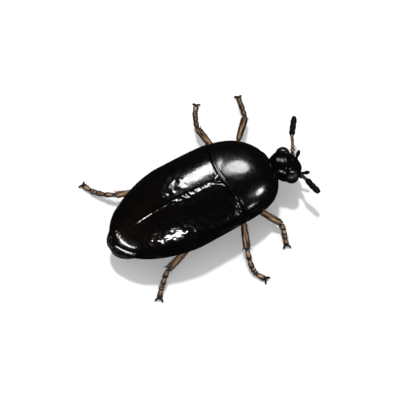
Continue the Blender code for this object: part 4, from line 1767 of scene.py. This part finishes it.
@dataclass(frozen=True)
class Sun:
    """An even light from one side, which never shows in the gloss."""

    name: str
    direction: Place
    strength: float
    shadow: bool
    angle: float = math.radians(6.0)

    def build(self) -> None:
        """Hangs the sun."""
        lamp = bpy.data.lights.new(self.name, "SUN")
        lamp.energy = self.strength
        lamp.angle = self.angle
        lamp.use_shadow = self.shadow
        held = hang(self.name, lamp)
        held.rotation_euler = Vector(self.direction).to_track_quat("Z", "Y").to_euler()
        held.visible_glossy = False


@dataclass(frozen=True)
class Softbox:
    """A soft oval lamp that faces the beetle and only shows in its gloss. Its sizes are in millimetres."""

    name: str
    direction: Place
    width: float
    height: float
    glow: float
    distance: float = 40.0

    def build(self, target: Vector) -> None:
        """Hangs the lamp, facing a target in millimetres."""
        lamp = bpy.data.lights.new(self.name, "AREA")
        lamp.shape = "ELLIPSE"
        lamp.size = self.width * MM
        lamp.size_y = self.height * MM
        lamp.energy = self.glow * math.pi * lamp.size * lamp.size_y * math.pi / 4
        held = hang(self.name, lamp)
        away = Vector(self.direction).normalized()
        held.location = (target + away * self.distance) * MM
        held.rotation_euler = away.to_track_quat("Z", "Y").to_euler()
        held.visible_diffuse = False


@dataclass(frozen=True)
class Studio:
    """White floor, soft lights and the camera, all in millimetres."""

    azimuth: float = math.radians(-31.39)
    elevation: float = math.radians(62.0)
    distance: float = 22.8
    lens: float = 86.7
    sensor: float = 36.0
    aim: Place = (2.375, 0.0, 0.76)
    aim_right: float = -0.0095
    aim_up: float = -0.078
    lamps_face: Place = (0.0, 0.0, 1.0)
    floor_half: float = 300.0
    air: float = 0.50
    air_in_gloss: float = 0.012
    air_to_eye: float = 0.48
    suns: tuple[Sun, ...] = (
        Sun("key_sun", (0.14, 0.37, 0.92), 2.0, shadow=True),
        Sun("fill_sun", (0.0, 0.0, 1.0), 0.7, shadow=False),
    )
    boxes: tuple[Softbox, ...] = (
        Softbox("softbox_crest", (0.56, 0.34, 0.755), 14.0, 13.0, 16.0),
        Softbox("softbox_case", (0.302, 0.583, 0.755), 9.0, 13.0, 22.0),
        Softbox("softbox_flank", (-0.295, -0.65, 0.70), 18.0, 5.0, 46.0),
        Softbox("softbox_front", (0.66, -0.55, 0.51), 9.0, 8.0, 24.0),
        Softbox("softbox_tail", (-0.83, 0.00, 0.29), 38.0, 3.4, 36.0),
        Softbox("softbox_corner", (0.42, -0.87, 0.24), 3.5, 3.5, 20.0),
    )

    def build_camera(self, anchor: Vector) -> None:
        """Sets up the camera and makes it the scene's."""
        sine, cosine = math.sin(self.azimuth), math.cos(self.azimuth)
        level = math.cos(self.elevation)
        back = Vector((sine * level, -cosine * level, math.sin(self.elevation)))
        right = Vector((cosine, sine, 0.0))
        target = anchor + Vector(self.aim) + right * self.aim_right + back.cross(right) * self.aim_up
        data = bpy.data.cameras.new("camera")
        data.lens = self.lens
        data.sensor_width = self.sensor
        data.clip_start = MM
        data.clip_end = 2.0
        camera = hang("camera", data)
        camera.location = (target + back * self.distance) * MM
        camera.rotation_euler = back.to_track_quat("Z", "Y").to_euler()
        bpy.context.scene.camera = camera

    def build_floor(self) -> None:
        """Lays the floor."""
        mesh = bmesh.new()
        bmesh.ops.create_grid(mesh, x_segments=2, y_segments=2, size=self.floor_half * MM)
        data = bpy.data.meshes.new("studio_floor")
        mesh.to_mesh(data)
        mesh.free()
        data.materials.append(FloorFinish().material())
        floor = hang("studio_floor", data)
        floor.visible_glossy = False

    def build_world(self) -> None:
        """Fills the studio with even white light, which the gloss sees only faintly and the eye as white."""
        world = bpy.data.worlds.new("studio_air")
        bpy.context.scene.world = world
        world.use_nodes = True
        tree = world.node_tree
        back = tree.nodes["Background"]
        back.inputs["Color"].default_value = (1.0, 1.0, 1.0, 1.0)
        path = tree.nodes.new("ShaderNodeLightPath")
        level = tree.nodes.new("ShaderNodeMapRange")
        level.inputs["To Min"].default_value = self.air
        level.inputs["To Max"].default_value = self.air_in_gloss
        seen = tree.nodes.new("ShaderNodeMapRange")
        seen.inputs["To Min"].default_value = 0.0
        seen.inputs["To Max"].default_value = self.air_to_eye
        total = tree.nodes.new("ShaderNodeMath")
        tree.links.new(path.outputs["Is Glossy Ray"], level.inputs["Value"])
        tree.links.new(path.outputs["Is Camera Ray"], seen.inputs["Value"])
        tree.links.new(level.outputs[0], total.inputs[0])
        tree.links.new(seen.outputs[0], total.inputs[1])
        tree.links.new(total.outputs[0], back.inputs["Strength"])

    def build(self, anchor: Vector) -> None:
        """Sets up the whole studio."""
        bpy.context.scene.view_settings.view_transform = "Standard"
        self.build_camera(anchor)
        self.build_floor()
        self.build_world()
        for sun in self.suns:
            sun.build()
        for box in self.boxes:
            box.build(Vector(self.lamps_face))


# ---------------------------------------------------------------- all together


def main() -> None:
    """Builds the beetle in its studio and reports each piece."""
    logging.basicConfig(level=logging.INFO, format="%(name)s: %(message)s")
    trunk = TrunkForm()
    Studio().build(trunk.anchor)
    shell = ShellFinish().material()
    plate = ShellFinish("pronotum_black", roughness=0.14).material()
    capsule = ShellFinish("head_black", roughness=0.15, specular=0.20, coat=0.0).material()
    belly = BellyFinish().material()
    # The first colour of each limb finish is the pale tan of its painted highlight, the second its brown.
    leg = LimbFinish("leg_brown", (0.410, 0.255, 0.145, 1.0), (0.024, 0.011, 0.006, 1.0)).material()
    hip = LimbFinish("hip_brown", (0.060, 0.028, 0.012, 1.0), (0.022, 0.010, 0.005, 1.0)).material()
    stalk = LimbFinish("stalk_brown", (0.390, 0.245, 0.145, 1.0), (0.024, 0.011, 0.006, 1.0)).material()
    downy = DownyFinish().material()
    eye = EyeFinish().material()
    claw = ClawFinish().material()
    WingCase(trunk, Side.LEFT, shell, bead=0.004, bevel_width=0.020).build()
    WingCase(trunk, Side.RIGHT, shell).build()
    Shield(trunk, shell).build()
    Pronotum(trunk, plate).build()
    Underside(trunk, belly).build()
    head = HeadForm(trunk)
    Head(head, capsule, belly, eye).build()
    for side in Side:
        Feeler(head, side, stalk, downy).build()
        for pair in Pair:
            Leg(pair, side, leg, hip, claw, trunk).build()


if __name__ == "__main__":
    main()
